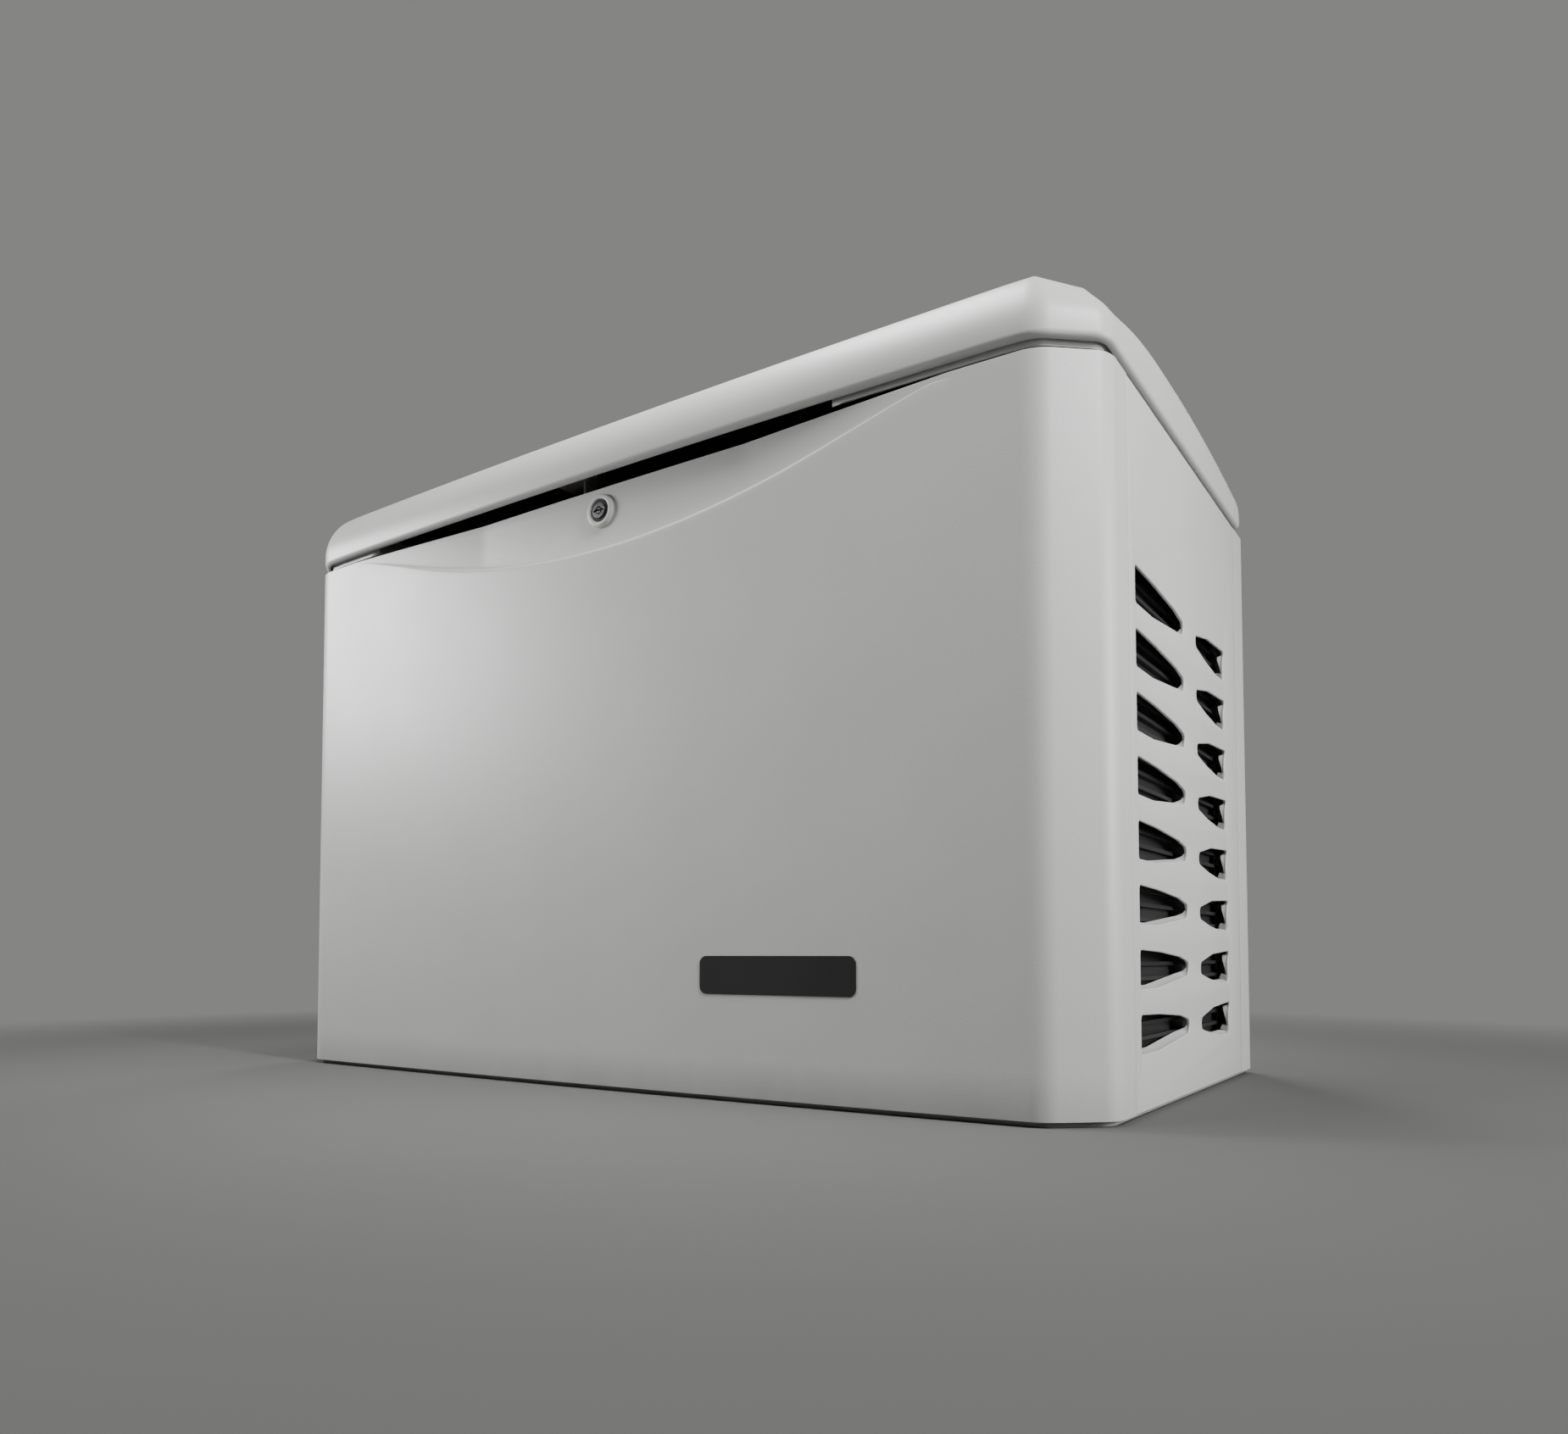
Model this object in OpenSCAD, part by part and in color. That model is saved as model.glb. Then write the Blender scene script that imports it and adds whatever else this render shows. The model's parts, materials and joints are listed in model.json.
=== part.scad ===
// Home standby generator: a louvred enclosure with a barrel-arched lid over an
// air-cooled V-twin gas engine that drives an alternator.
// Origin at the bottom centre. X runs along the length, the front faces -Y, +Z is up.

/* [Enclosure] */
// Overall length of the enclosure
body_length = 1200; // [1180:5:1220]
// Overall depth of the enclosure
body_depth = 635; // [630:1:645]
// Height of the top edge of the four panels
panel_top = 717; // [712:1:722]
// Thickness of the moulded panels
panel_wall = 3; // [2.5:0.5:3.5]
// How far the front face bows forward at its middle
front_bow = 10.4; // [6:0.2:12]
// Depth of the seam between front and side panels, measured from the middle
front_seam = 210; // [205:1:215]
// Depth of the seam between rear and side panels, measured from the middle
rear_seam = 258.5; // [255:0.5:262]
// Width of the seams between panels
seam_gap = 1; // [0.8:0.1:1.5]

/* [Lid] */
// Gap between the panels and the lid
lid_gap = 12; // [11:0.5:13]
// Radius of the roof edge
roof_radius = 65; // [60:1:66]
// Height of the centre of the roof edge rounding, over the middle of the depth
roof_spring = 762.5; // [760:0.5:768]
// Fall of the arched roof from its ridge to a depth of 260 mm
roof_fall = 13; // [8:0.5:16]
// Thickness of the lid
lid_wall = 4; // [3.5:0.5:4.5]
// Distance of the lid's back edge from the rear plane
lid_setback = 8; // [7:0.5:9]

/* [Scoop and lock] */
// Half width of the finger scoop
scoop_half = 472; // [460:1:476]
// Height of the lowest point of the scoop's rim
scoop_low = 638; // [634:1:644]
// Depth of the scoop at its middle
scoop_depth = 17.5; // [16:0.5:18]
// Height of the lock
lock_height = 689; // [688:0.5:690]

/* [Louvres] */
// Rows of louvre openings on each side
louvre_rows = 8; // [6:1:8]
// Height from one louvre row to the next
louvre_pitch = 62.7; // [60:0.1:63]
// Height of the top row's upper edge
louvre_top = 537; // [530:1:540]

/* [Engine] */
// Depth position of the crankshaft
crank_y = 20; // [18:1:22]
// Height of the crankshaft
crank_z = 290; // [288:1:292]
// Radius of the cooling fins on the cylinders
fin_radius = 68; // [64:1:68]
// Fins on each cylinder
fin_count = 9; // [7:1:9]
// Blades on the flywheel fan
fan_blades = 14; // [10:1:18]
// Radius of the alternator's stator housing
stator_radius = 118; // [114:1:120]

/* [Hidden] */
$fn = 64;

enclosure_colour = [0.80, 0.80, 0.79];
dark_colour = [0.12, 0.12, 0.12];
steel_colour = [0.62, 0.63, 0.64];
casting_colour = [0.55, 0.56, 0.57];
copper_colour = [0.70, 0.42, 0.25];

half_length = body_length / 2;
half_depth = body_depth / 2;
panel_bottom = 5.5;
base_inset = 8.2;
corner_x = 55.3;                      // front corner chamfer along X
corner_y = 47.9;                      // front corner chamfer along Y
chamfer_x = half_length - corner_x;
chamfer_y = -half_depth + front_bow;
lid_bottom = panel_top + lid_gap;
lid_back = half_depth - lid_setback;
shaft_radius = 17.5;
running_clearance = 0.05;
hinge_y = 303.5;
hinge_z = 723;
hinge_places = [-430, 0, 430];
strut_x = 545;
strut_low = [180, 480];
strut_high = [40, 752];
cylinder_places = [[122, -45], [184, 45]];
cradle_top = 92;
baffle_x = 577;
bulkhead_x = -345;
frame_top = 712;
frame_inset = 22;
frame_width = 18;
screw_places = [for (x = [-560, 0, 560], z = [110, 640]) [x, z]];
anchor_x = 520;
anchor_y = 283;
anchor_radius = 6;
fuel_x = -120;
valve_z = 232;
mixer_x = 148;
filler_origin = [214, -78, 176];
filler_tilt = 62;
starter_y = -131;
starter_z = 288;
rear_edge = 20;

// ---- plan outline of the enclosure ----

function unit(v) = v / norm(v);
function front_y(x) = -half_depth + front_bow * pow(x / chamfer_x, 2);

// Corners anticlockwise from the front left, each with its rounding radius
plan_corners = concat(
    [for (x = [-500:100:500]) [x, front_y(x), 0]],
    [[chamfer_x, chamfer_y, 45], [half_length, chamfer_y + corner_y, 32]],
    [[half_length, half_depth, 9], [-half_length, half_depth, 9]],
    [[-half_length, chamfer_y + corner_y, 32], [-chamfer_x, chamfer_y, 45]]);

function xy(p) = [p.x, p.y];
function left_of(v) = [-v.y, v.x];

// Corner b between a and c, moved inwards by d
function inset_corner(a, b, c, d) =
    let (n1 = left_of(unit(b - a)), n2 = left_of(unit(c - b)))
    b + d * (n1 + n2) / (1 + n1 * n2);

// Arc of radius r that rounds the corner b between a and c
function corner_arc(a, b, c, r, steps) =
    let (u = unit(a - b), v = unit(c - b))
    let (half = acos(u * v) / 2)
    let (centre = b + unit(u + v) * r / sin(half))
    let (start = b + u * r / tan(half) - centre, end = b + v * r / tan(half) - centre)
    let (a0 = atan2(start.y, start.x))
    let (turn = (atan2(end.y, end.x) - a0 + 540) % 360 - 180)
    [for (i = [0:steps]) centre + r * [cos(a0 + turn * i / steps), sin(a0 + turn * i / steps)]];

// Closed outline through the given [x, y, radius] corners, moved inwards by d
function rounded_outline(corners, d, steps) =
    let (n = len(corners))
    let (moved = [for (i = [0:n - 1])
        inset_corner(xy(corners[(i + n - 1) % n]), xy(corners[i]), xy(corners[(i + 1) % n]), d)])
    [for (i = [0:n - 1]) each (corners[i][2] - d < 0.5
        ? [moved[i]]
        : corner_arc(moved[(i + n - 1) % n], moved[i], moved[(i + 1) % n],
            corners[i][2] - d, steps))];

function plan(d) = rounded_outline(plan_corners, d, 8);

// ---- building blocks ----

// Solid of the plan outline, moved inwards by d
module plan_solid(d, z0, z1) {
    translate([0, 0, z0])
        linear_extrude(z1 - z0)
            polygon(plan(d));
}

// Wall of the plan outline between the insets d0 and d1
module plan_ring(d0, d1, z0, z1) {
    translate([0, 0, z0])
        linear_extrude(z1 - z0)
            difference() {
                polygon(plan(d0));
                polygon(plan(d1));
            }
}

// Box given by its two corners
module box(low, high) {
    translate(low)
        cube(high - low);
}

// Box with rounded vertical edges
module rounded_box(low, high, r) {
    translate([low.x, low.y, low.z])
        linear_extrude(high.z - low.z)
            polygon(rounded_outline([[0, 0, r], [high.x - low.x, 0, r],
                [high.x - low.x, high.y - low.y, r], [0, high.y - low.y, r]], 0, 5));
}

module rod_x(x0, x1, r, y, z) {
    translate([x0, y, z])
        rotate([0, 90, 0])
            cylinder(r = r, h = x1 - x0);
}

module rod_y(y0, y1, r, x, z) {
    translate([x, y0, z])
        rotate([-90, 0, 0])
            cylinder(r = r, h = y1 - y0);
}

module rod_z(z0, z1, r, x, y) {
    translate([x, y, z0])
        cylinder(r = r, h = z1 - z0);
}

// Plate cut to an outline in X and Z, from y0 back to y1
module upright(points, y0, y1) {
    translate([0, y1, 0])
        rotate([90, 0, 0])
            linear_extrude(y1 - y0)
                polygon(points);
}

// Plate cut to an outline in Y and Z, from x0 to x1
module crosswise(points, x0, x1) {
    translate([x0, 0, 0])
        rotate([90, 0, 90])
            linear_extrude(x1 - x0)
                polygon(points);
}

// Pipe along straight runs parallel to the axes, with ball-rounded bends
module pipe_run(points, r) {
    for (i = [0:len(points) - 2]) {
        v = points[i + 1] - points[i];
        translate(points[i])
            rotate([0, acos(v.z / norm(v)), atan2(v.y, v.x)])
                cylinder(r = r, h = norm(v));
    }
    for (i = [1:1:len(points) - 2])
        translate(points[i])
            sphere(r = r);
}

// Point at t from b to c on a smooth curve that also passes a and d
function curve_point(a, b, c, d, t) =
    b + t * ((c - a) + t * ((2 * a - 5 * b + 4 * c - d) + t * (3 * (b - c) + d - a))) / 2;

function smooth_path(p, steps) =
    let (last = len(p) - 1)
    concat([for (i = [0:last - 1], k = [0:steps - 1])
        curve_point(p[max(i - 1, 0)], p[i], p[i + 1], p[min(i + 2, last)], k / steps)],
        [p[last]]);

// Carries the side direction n along the tangents without twist
function carried(tangents, i, n, done) =
    i == len(tangents) ? done
    : let (m = unit(n - (n * tangents[i]) * tangents[i]))
        carried(tangents, i + 1, m, concat(done, [m]));

// Bent tube of radius r along a smooth curve through the route's points
module bent_tube(route, r, sides, steps) {
    path = smooth_path(route, steps);
    last = len(path) - 1;
    tangents = [for (i = [0:last]) unit(path[min(i + 1, last)] - path[max(i - 1, 0)])];
    first = abs(tangents[0].z) < 0.8 ? [0, 0, 1] : [1, 0, 0];
    normals = carried(tangents, 0, first, []);
    rings = [for (i = [0:last], k = [0:sides - 1])
        let (a = 360 * k / sides, side = cross(tangents[i], normals[i]))
        path[i] + r * (cos(a) * normals[i] + sin(a) * side)];
    walls = [for (i = [0:last - 1], k = [0:sides - 1])
        let (a = i * sides + k, b = i * sides + (k + 1) % sides)
        each [[a, a + sides, b + sides], [a, b + sides, b]]];
    caps = [[for (k = [0:sides - 1]) k], [for (k = [0:sides - 1]) (last + 1) * sides - 1 - k]];
    polyhedron(points = rings, faces = concat(walls, caps));
}

// Moves its children out along one of the engine's cylinders
module on_cylinder(place) {
    translate([place[0], crank_y, crank_z])
        rotate([-place[1], 0, 0])
            children();
}

// ---- enclosure ----

module base_tray() {
    color(enclosure_colour)
        difference() {
            union() {
                plan_solid(base_inset, 0, 4);
                plan_ring(base_inset, base_inset + 3, 0, 60);
                for (y = [-150, 150])
                    box([-335, y - 20, 3.5], [360, y + 20, 44]);
                for (x = [-1, 1], y = [-1, 1])
                    rod_z(3.5, 12, 14, x * anchor_x, y * anchor_y);
            }
            for (x = [-1, 1], y = [-1, 1])
                rod_z(-1, 13, anchor_radius, x * anchor_x, y * anchor_y);
            for (x = [-300, 290], y = [-150, 150])
                rod_z(20, 45, 5, x, y);
        }
}

// Height of the scoop's rim over the front face
function scoop_rim(x) =
    let (t = pow(min(abs(x) / scoop_half, 1), 2))
    scoop_low + (panel_top - scoop_low) * t * (1.2 + 0.15 * t - 0.35 * t * t);

// Depth of the scoop's wall behind the front face
function scoop_wall(x) = scoop_depth * max(0, min(1, (scoop_half - 12 - abs(x)) / 250));

scoop_steps = [-scoop_half:16:scoop_half];
scoop_xs = concat([for (x = scoop_steps) x], [scoop_half]);
scoop_shadow = concat([for (x = scoop_xs) [x, scoop_rim(x)]],
    [[scoop_half, panel_top + 1], [-scoop_half, panel_top + 1]]);

module scoop_plan(d0, d1) {
    last = len(scoop_xs) - 1;
    front = [for (x = scoop_xs) [x, front_y(x) + scoop_wall(x) * d0]];
    back = [for (i = [0:last]) let (x = scoop_xs[last - i])
        [x, front_y(x) + scoop_wall(x) + d1]];
    translate([0, 0, 600])
        linear_extrude(panel_top - 600)
            polygon(concat(front, back));
}

module scoop_band(low, high) {
    last = len(scoop_xs) - 1;
    bottom = [for (x = scoop_xs) [x, scoop_rim(x) + low]];
    top = [for (i = [0:last]) [scoop_xs[last - i], scoop_rim(scoop_xs[last - i]) + high]];
    upright(concat(bottom, top), -half_depth - 10, -half_depth + 60);
}

module front_panel() {
    color(enclosure_colour)
        difference() {
            union() {
                difference() {
                    intersection() {
                        plan_ring(0, panel_wall, panel_bottom, panel_top);
                        box([-700, -400, 0], [700, -front_seam, 800]);
                    }
                    upright(scoop_shadow, -half_depth - 10, -half_depth + 20);
                }
                intersection() {
                    scoop_plan(1, panel_wall);
                    scoop_band(-panel_wall, 120);
                }
                intersection() {
                    scoop_plan(0, panel_wall);
                    scoop_band(-panel_wall, 0);
                }
                rod_y(-304.5, -298, 20.5, 0, lock_height);
                intersection() {
                    plan_ring(panel_wall - 0.1, 10, 330, 336);
                    box([-700, -400, 300], [700, -230, 400]);
                }
            }
            rod_y(-310, -290, 10.9, 0, lock_height);
            rod_y(-310, -300, 13.7, 0, lock_height);
        }
}

// Outline of a front louvre opening: straight at the front, drawn out to a round tip
front_leaf = [[-190, -37.5, 4], [-130, -37.5, 60], [-7, -27, 7], [-4, -13, 7],
    [-40, -7, 60], [-120, -2, 200], [-190, 0, 5]];
// Outline of a rear louvre opening: round tip in front, hollowed edge behind
rear_leaf = [[50, -26, 6], [95, -33, 60], [150, -38, 60], [191, -38, 4], [183, -22, 30],
    [197, 0, 4], [110, -4, 80], [48, -14, 7]];

module louvre_openings(x0, x1) {
    for (row = [0:louvre_rows - 1])
        translate([0, 0, louvre_top - row * louvre_pitch]) {
            crosswise(rounded_outline(front_leaf, 0, 4), x0, x1);
            crosswise(rounded_outline(rear_leaf, 0, 4), x0, x1);
        }
}

module side_panel(side) {
    low = side > 0 ? 500 : -700;
    color(enclosure_colour)
        difference() {
            union() {
                intersection() {
                    plan_ring(0, panel_wall, panel_bottom, panel_top);
                    box([low, -front_seam + seam_gap, 0], [low + 200, rear_seam - seam_gap, 800]);
                }
                // lap strips behind the two seams
                for (y = [-front_seam - 12, rear_seam - 12])
                    scale([side, 1, 1])
                        box([half_length - panel_wall - 2.3, y, 66],
                            [half_length - panel_wall - 0.3, y + 24, panel_top - 10]);
                for (y = [-front_seam + 2, rear_seam - 12])
                    scale([side, 1, 1])
                        box([half_length - panel_wall - 0.5, y, 66],
                            [half_length - panel_wall + 0.1, y + 9, panel_top - 10]);
            }
            louvre_openings(low, low + 200);
        }
}

module left_panel() {
    side_panel(-1);
}

module right_panel() {
    side_panel(1);
}

module rear_panel() {
    color(enclosure_colour)
        difference() {
            intersection() {
                plan_ring(0, panel_wall, panel_bottom, panel_top);
                box([-700, rear_seam, 0], [700, 400, 800]);
            }
            for (p = screw_places) {
                rod_y(300, 330, 2.6, p[0], p[1]);
                rod_y(half_depth - 2, 330, 5.3, p[0], p[1]);
            }
            rod_y(300, 330, 26, fuel_x, 150);
            rod_y(300, 330, 22, -450, 110);
            rod_y(300, 330, 14, -380, 110);
        }
}

// Ribbed inner walls that hide the interior behind the louvres
module side_baffles() {
    color(dark_colour)
        for (side = [-1, 1])
            scale([side, 1, 1]) {
                box([baffle_x, -206, 62], [baffle_x + 2, 214, 560]);
                for (z = [70:15:545])
                    box([baffle_x + 1.5, -204, z], [baffle_x + 8, 212, z + 4]);
            }
}

// Rim that stiffens the top of the enclosure and carries the hinges and the seal
module upper_frame() {
    color(enclosure_colour) {
        difference() {
            intersection() {
                plan_ring(frame_inset, frame_inset + frame_width, 684, frame_top);
                box([-700, -400, 0], [700, 284, 800]);
            }
            box([-480, -400, 680], [480, -262, 760]);
        }
        box([-568, -262, 684], [568, -232, frame_top]);
        box([-568, 266, 684], [568, 298, frame_top]);
        difference() {
            box([-470, -262, frame_top - 0.5], [400, -259, 722]);
            box([-60, -300, 700], [120, -200, 721.9]);
        }
        for (side = [-1, 1], y = [-245, 262])
            scale([side, 1, 1])
                box([549, y, 60.2], [571, y + 20, 684.5]);
    }
}

module bulkhead() {
    color(steel_colour)
        difference() {
            union() {
                box([bulkhead_x, -262, 60], [bulkhead_x + 3, 262, 683.5]);
                box([bulkhead_x, -262, 60], [bulkhead_x + 22, -259, 683.5]);
                box([bulkhead_x, 259, 60], [bulkhead_x + 22, 262, 683.5]);
            }
            rod_x(bulkhead_x - 5, bulkhead_x + 10, 75, crank_y, crank_z);
            rod_x(bulkhead_x - 5, bulkhead_x + 10, 16, -200, 236);
            rod_x(bulkhead_x - 5, bulkhead_x + 10, 16, 180, 150);
        }
}

module panel_screws() {
    color(steel_colour)
        for (p = screw_places)
            difference() {
                union() {
                    rod_y(half_depth - 1.9, half_depth - 0.1, 5, p[0], p[1]);
                    rod_y(300, half_depth - 1.8, 2.4, p[0], p[1]);
                }
                translate([p[0], half_depth + 1, p[1]])
                    rotate([90, 0, 0])
                        cylinder(r = 2, h = 2.2, $fn = 6);
            }
}

// Plain dark badge low on the front face
module badge_plate() {
    badge = [[164, 114, 8], [357, 114, 8], [357, 155, 8], [164, 155, 8]];
    color([0.22, 0.22, 0.23])
        intersection() {
            upright(rounded_outline(badge, 0, 5), -half_depth - 10, -half_depth + 60);
            translate([0, -0.9, 0])
                difference() {
                    plan_solid(0, 100, 170);
                    translate([0, 0.9, 0])
                        plan_solid(0, 99, 171);
                }
        }
}

// ---- lid ----

// Roof height of the rounding's centre line at depth y
function roof_line(y) = roof_spring - roof_fall * pow(y / 260, 2);

// Right half of the lid outline from the front middle round to the back,
// moved in by d at the front and side and by e at the back
lid_side_steps = 8;
function lid_half(d, e) =
    let (back = lid_back - e)
    let (a = [500, front_y(500)], b = [chamfer_x, chamfer_y])
    let (c = [half_length, chamfer_y + corner_y], far = [half_length, lid_back])
    let (b2 = inset_corner(a, b, c, d), c2 = inset_corner(b, c, far, d))
    let (front_arc = corner_arc(a + [0, d], b2, c2, max(45 - d, 2), 5))
    let (side_arc = corner_arc(b2, c2, c2 + [0, 100], max(32 - d, 2), 5))
    let (start = side_arc[5].y, radius = max(9 - d, 2))
    concat(
        [for (x = [0:100:500]) [x * (chamfer_x - d) / chamfer_x, front_y(x) + d]],
        front_arc, side_arc,
        [for (i = [1:lid_side_steps - 1])
            [half_length - d, start + (back - radius - start) * i / lid_side_steps]],
        [for (i = [0:3]) [half_length - d - radius + radius * cos(30 * i),
            back - radius + radius * sin(30 * i)]],
        [[0, back]]);

// Whole outline: the right half, then its mirror image back to the front
function lid_outline(d, e) =
    let (h = lid_half(d, e), n = len(h))
    concat(h, [for (i = [1:n - 2]) [-h[n - 1 - i].x, h[n - 1 - i].y]]);

// Rings of points up the lid's wall and round its roof edge, all moved in by d
function lid_rings(d, edge_steps) =
    let (r = roof_radius - d, b = rear_edge - d)
    [for (i = [0:edge_steps])
        let (a = 90 * i / edge_steps, rise = r * sin(a), over = max(0, rise - r + b))
        [for (p = lid_outline(d + r * (1 - cos(a)), d + b - sqrt(b * b - over * over)))
            [p.x, p.y, roof_line(p.y) + rise]]];

function level_ring(d, z) = [for (p = lid_outline(d, d)) [p.x, p.y, z]];

// Triangles between neighbouring rings of n points, numbered from the point start
function ring_walls(start, rings, n) =
    [for (k = [0:rings - 2], i = [0:n - 1])
        let (a = start + k * n + i, b = start + k * n + (i + 1) % n)
        each [[a, b + n, b], [a, a + n, b + n]]];

// Triangles across the last ring, which is the same on the left and the right
function roof_strips(start, n) =
    let (half = n / 2, back = start + half)
    [for (i = [0:half - 2])
        let (r0 = start + i, r1 = start + i + 1)
        let (l0 = start + (n - i) % n, l1 = start + n - i - 1)
        each (i == 0 ? [[r0, l1, r1]]
            : i == half - 2 ? [[r0, l0, l1], [r0, l1, back], [r0, back, r1]]
            : [[r0, l0, l1], [r0, l1, r1]])];

function flipped(faces) = [for (f = faces) [f[0], f[2], f[1]]];

// Solid cap with its flat underside at z0
module lid_cap(d, z0, edge_steps) {
    rings = concat([level_ring(d, z0)], lid_rings(d, edge_steps));
    n = len(rings[0]);
    polyhedron(points = [for (ring = rings) each ring],
        faces = concat(ring_walls(0, len(rings), n), roof_strips((len(rings) - 1) * n, n),
            [[for (i = [0:n - 1]) i]]));
}

// The lid's moulding: an outer and an inner skin joined round a rolled lower edge
module lid_moulding(edge_steps) {
    outer = concat([level_ring(3, lid_bottom), level_ring(1, lid_bottom + 1.2),
        level_ring(0, lid_bottom + 4.5)], lid_rings(0, edge_steps));
    inner = concat([level_ring(lid_wall, lid_bottom)], lid_rings(lid_wall, edge_steps));
    n = len(outer[0]);
    start = len(outer) * n;
    lip = [for (i = [0:n - 1])
        let (j = (i + 1) % n)
        each [[i, j, start + i], [j, start + j, start + i]]];
    polyhedron(points = concat([for (ring = outer) each ring], [for (ring = inner) each ring]),
        faces = concat(ring_walls(0, len(outer), n), roof_strips(start - n, n),
            flipped(ring_walls(start, len(inner), n)),
            flipped(roof_strips(start + (len(inner) - 1) * n, n)), lip));
}

// Inner rim behind the skirt, broken by the finger slot and stopped short of the hinges
module lid_rim() {
    color(enclosure_colour)
        difference() {
            union() {
                plan_ring(10, 13, panel_top + 2, lid_bottom + 14);
                plan_ring(lid_wall - 0.2, 12, lid_bottom + 11, lid_bottom + 14);
            }
            box([-425, -400, 700], [325, -200, 800]);
            box([-700, 240, 700], [700, 400, 800]);
        }
}

module lid_shell() {
    color(enclosure_colour)
        lid_moulding(6);
}

// Sound-deadening foam under the roof
module lid_liner() {
    color([0.16, 0.16, 0.17])
        difference() {
            intersection() {
                lid_cap(lid_wall + 1, 786, 4);
                box([-535, -250, 700], [535, 250, 900]);
            }
            translate([0, 0, -16])
                lid_cap(lid_wall + 1, 760, 4);
        }
}

function gasket_line(d) = rounded_outline([[-574, -258, 24], [574, -258, 24],
    [574, 278, 14], [-574, 278, 14]], d, 4);

module lid_gasket() {
    color(dark_colour)
        difference() {
            translate([0, 0, frame_top])
                linear_extrude(8)
                    polygon(gasket_line(0));
            translate([0, 0, frame_top - 1])
                linear_extrude(10)
                    polygon(gasket_line(7));
        }
}

module lid_keeper() {
    color(steel_colour) {
        box([-44, -285, lock_height - 12], [-16, -264, lock_height - 9]);
        box([-44, -285, lock_height - 12], [-41, -264, 743]);
        box([-80, -313, 740], [-20, -264, 743]);
        box([-80, -313, 731], [-20, -311, 743]);
    }
}

// ---- hinges ----

module hinge_lid_leaves() {
    color(steel_colour)
        for (x0 = hinge_places)
            difference() {
                union() {
                    for (k = [-24, 8])
                        rod_x(x0 + k, x0 + k + 16, 4.5, hinge_y, hinge_z);
                    for (k = [-24, 8])
                        box([x0 + k, hinge_y - 1, hinge_z], [x0 + k + 16, hinge_y + 1.5, 734]);
                    box([x0 - 40, hinge_y - 1, 733.5], [x0 + 40, hinge_y + 1.5, 775]);
                    box([x0 - 38, hinge_y + 1, 740], [x0 + 38, lid_back - lid_wall, 770]);
                }
                rod_x(x0 - 60, x0 + 60, 2.5 + running_clearance, hinge_y, hinge_z);
            }
}

// Fixed leaves with the pins that the lid turns on
module hinge_body_leaves() {
    color(steel_colour)
        for (x0 = hinge_places) {
            for (k = [-40.4, -7.6, 24.4]) {
                width = k == -7.6 ? 15.2 : 16;
                rod_x(x0 + k, x0 + k + width, 4.5, hinge_y, hinge_z);
                box([x0 + k, hinge_y - 1.5, 716], [x0 + k + width, hinge_y + 1, hinge_z]);
            }
            box([x0 - 40.4, hinge_y - 1.5, 688], [x0 + 40.4, hinge_y + 1, 716.5]);
            box([x0 - 38, 298, 690], [x0 + 38, hinge_y - 1, 710]);
            rod_x(x0 - 42, x0 + 42, 2.5, hinge_y, hinge_z);
        }
}

// ---- gas struts ----

strut_run = strut_high - strut_low;
strut_closed = norm(strut_run);
strut_lean = atan2(-strut_run.x, strut_run.y);

// Places its children at the strut's lower pivot, with +Z towards the upper one
module on_strut(side) {
    translate([side * strut_x, strut_low.x, strut_low.y])
        rotate([strut_lean, 0, 0])
            children();
}

module strut_body_studs() {
    color(steel_colour)
        for (side = [-1, 1])
            scale([side, 1, 1]) {
                box([571.2, 165, 455], [574.2, 195, 684]);
                rod_x(537, 571.5, 4, strut_low.x, strut_low.y);
            }
}

module strut_lid_studs() {
    color(steel_colour)
        for (side = [-1, 1])
            scale([side, 1, 1]) {
                box([592.5, 20, 744], [half_length - lid_wall, 60, 761]);
                rod_x(556, 593, 4, strut_high.x, strut_high.y);
            }
}

module strut_cylinder(side) {
    color(dark_colour)
        on_strut(side)
            difference() {
                union() {
                    cylinder(r = 9, h = 268);
                    translate([-8, 0, 0])
                        rotate([0, 90, 0])
                            cylinder(r = 9, h = 16);
                }
                translate([-20, 0, 0])
                    rotate([0, 90, 0])
                        cylinder(r = 4 + running_clearance, h = 40);
                translate([0, 0, 16])
                    cylinder(r = 6.5, h = 240);
                translate([0, 0, 250])
                    cylinder(r = 4 + running_clearance, h = 40);
            }
}

module strut_cylinder_left() {
    strut_cylinder(-1);
}

module strut_cylinder_right() {
    strut_cylinder(1);
}

module strut_rod(side) {
    color(steel_colour)
        on_strut(side) {
            translate([0, 0, 24])
                cylinder(r = 6.2, h = 10);
            translate([0, 0, 30])
                cylinder(r = 4, h = strut_closed - 34);
            translate([0, 0, strut_closed - 14])
                cylinder(r = 6, h = 14);
            translate([-7, 0, strut_closed])
                rotate([0, 90, 0])
                    cylinder(r = 8, h = 14);
        }
}

module strut_rod_left() {
    strut_rod(-1);
}

module strut_rod_right() {
    strut_rod(1);
}

// ---- lock ----

module lock_bezel() {
    color(dark_colour)
        difference() {
            union() {
                rod_y(-303.6, -300, 13.6, 0, lock_height);
                rod_y(-300.5, -282, 10.8, 0, lock_height);
                translate([0, -290, lock_height])
                    rotate([90, 0, 0])
                        cylinder(r = 16, h = 6.9, $fn = 6);
            }
            rod_y(-310, -270, 9.5, 0, lock_height);
        }
}

module lock_cylinder() {
    color(steel_colour)
        difference() {
            union() {
                rod_y(-305, -279, 9.5 - running_clearance, 0, lock_height);
                box([-4, -279.5, lock_height - 4], [4, -275, lock_height + 4]);
            }
            difference() {
                rod_y(-306, -302, 4.7, 0, lock_height);
                rod_y(-307, -301, 3.4, 0, lock_height);
            }
            box([-8.4, -306, lock_height - 0.9], [8.4, -303, lock_height + 0.9]);
        }
}

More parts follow.
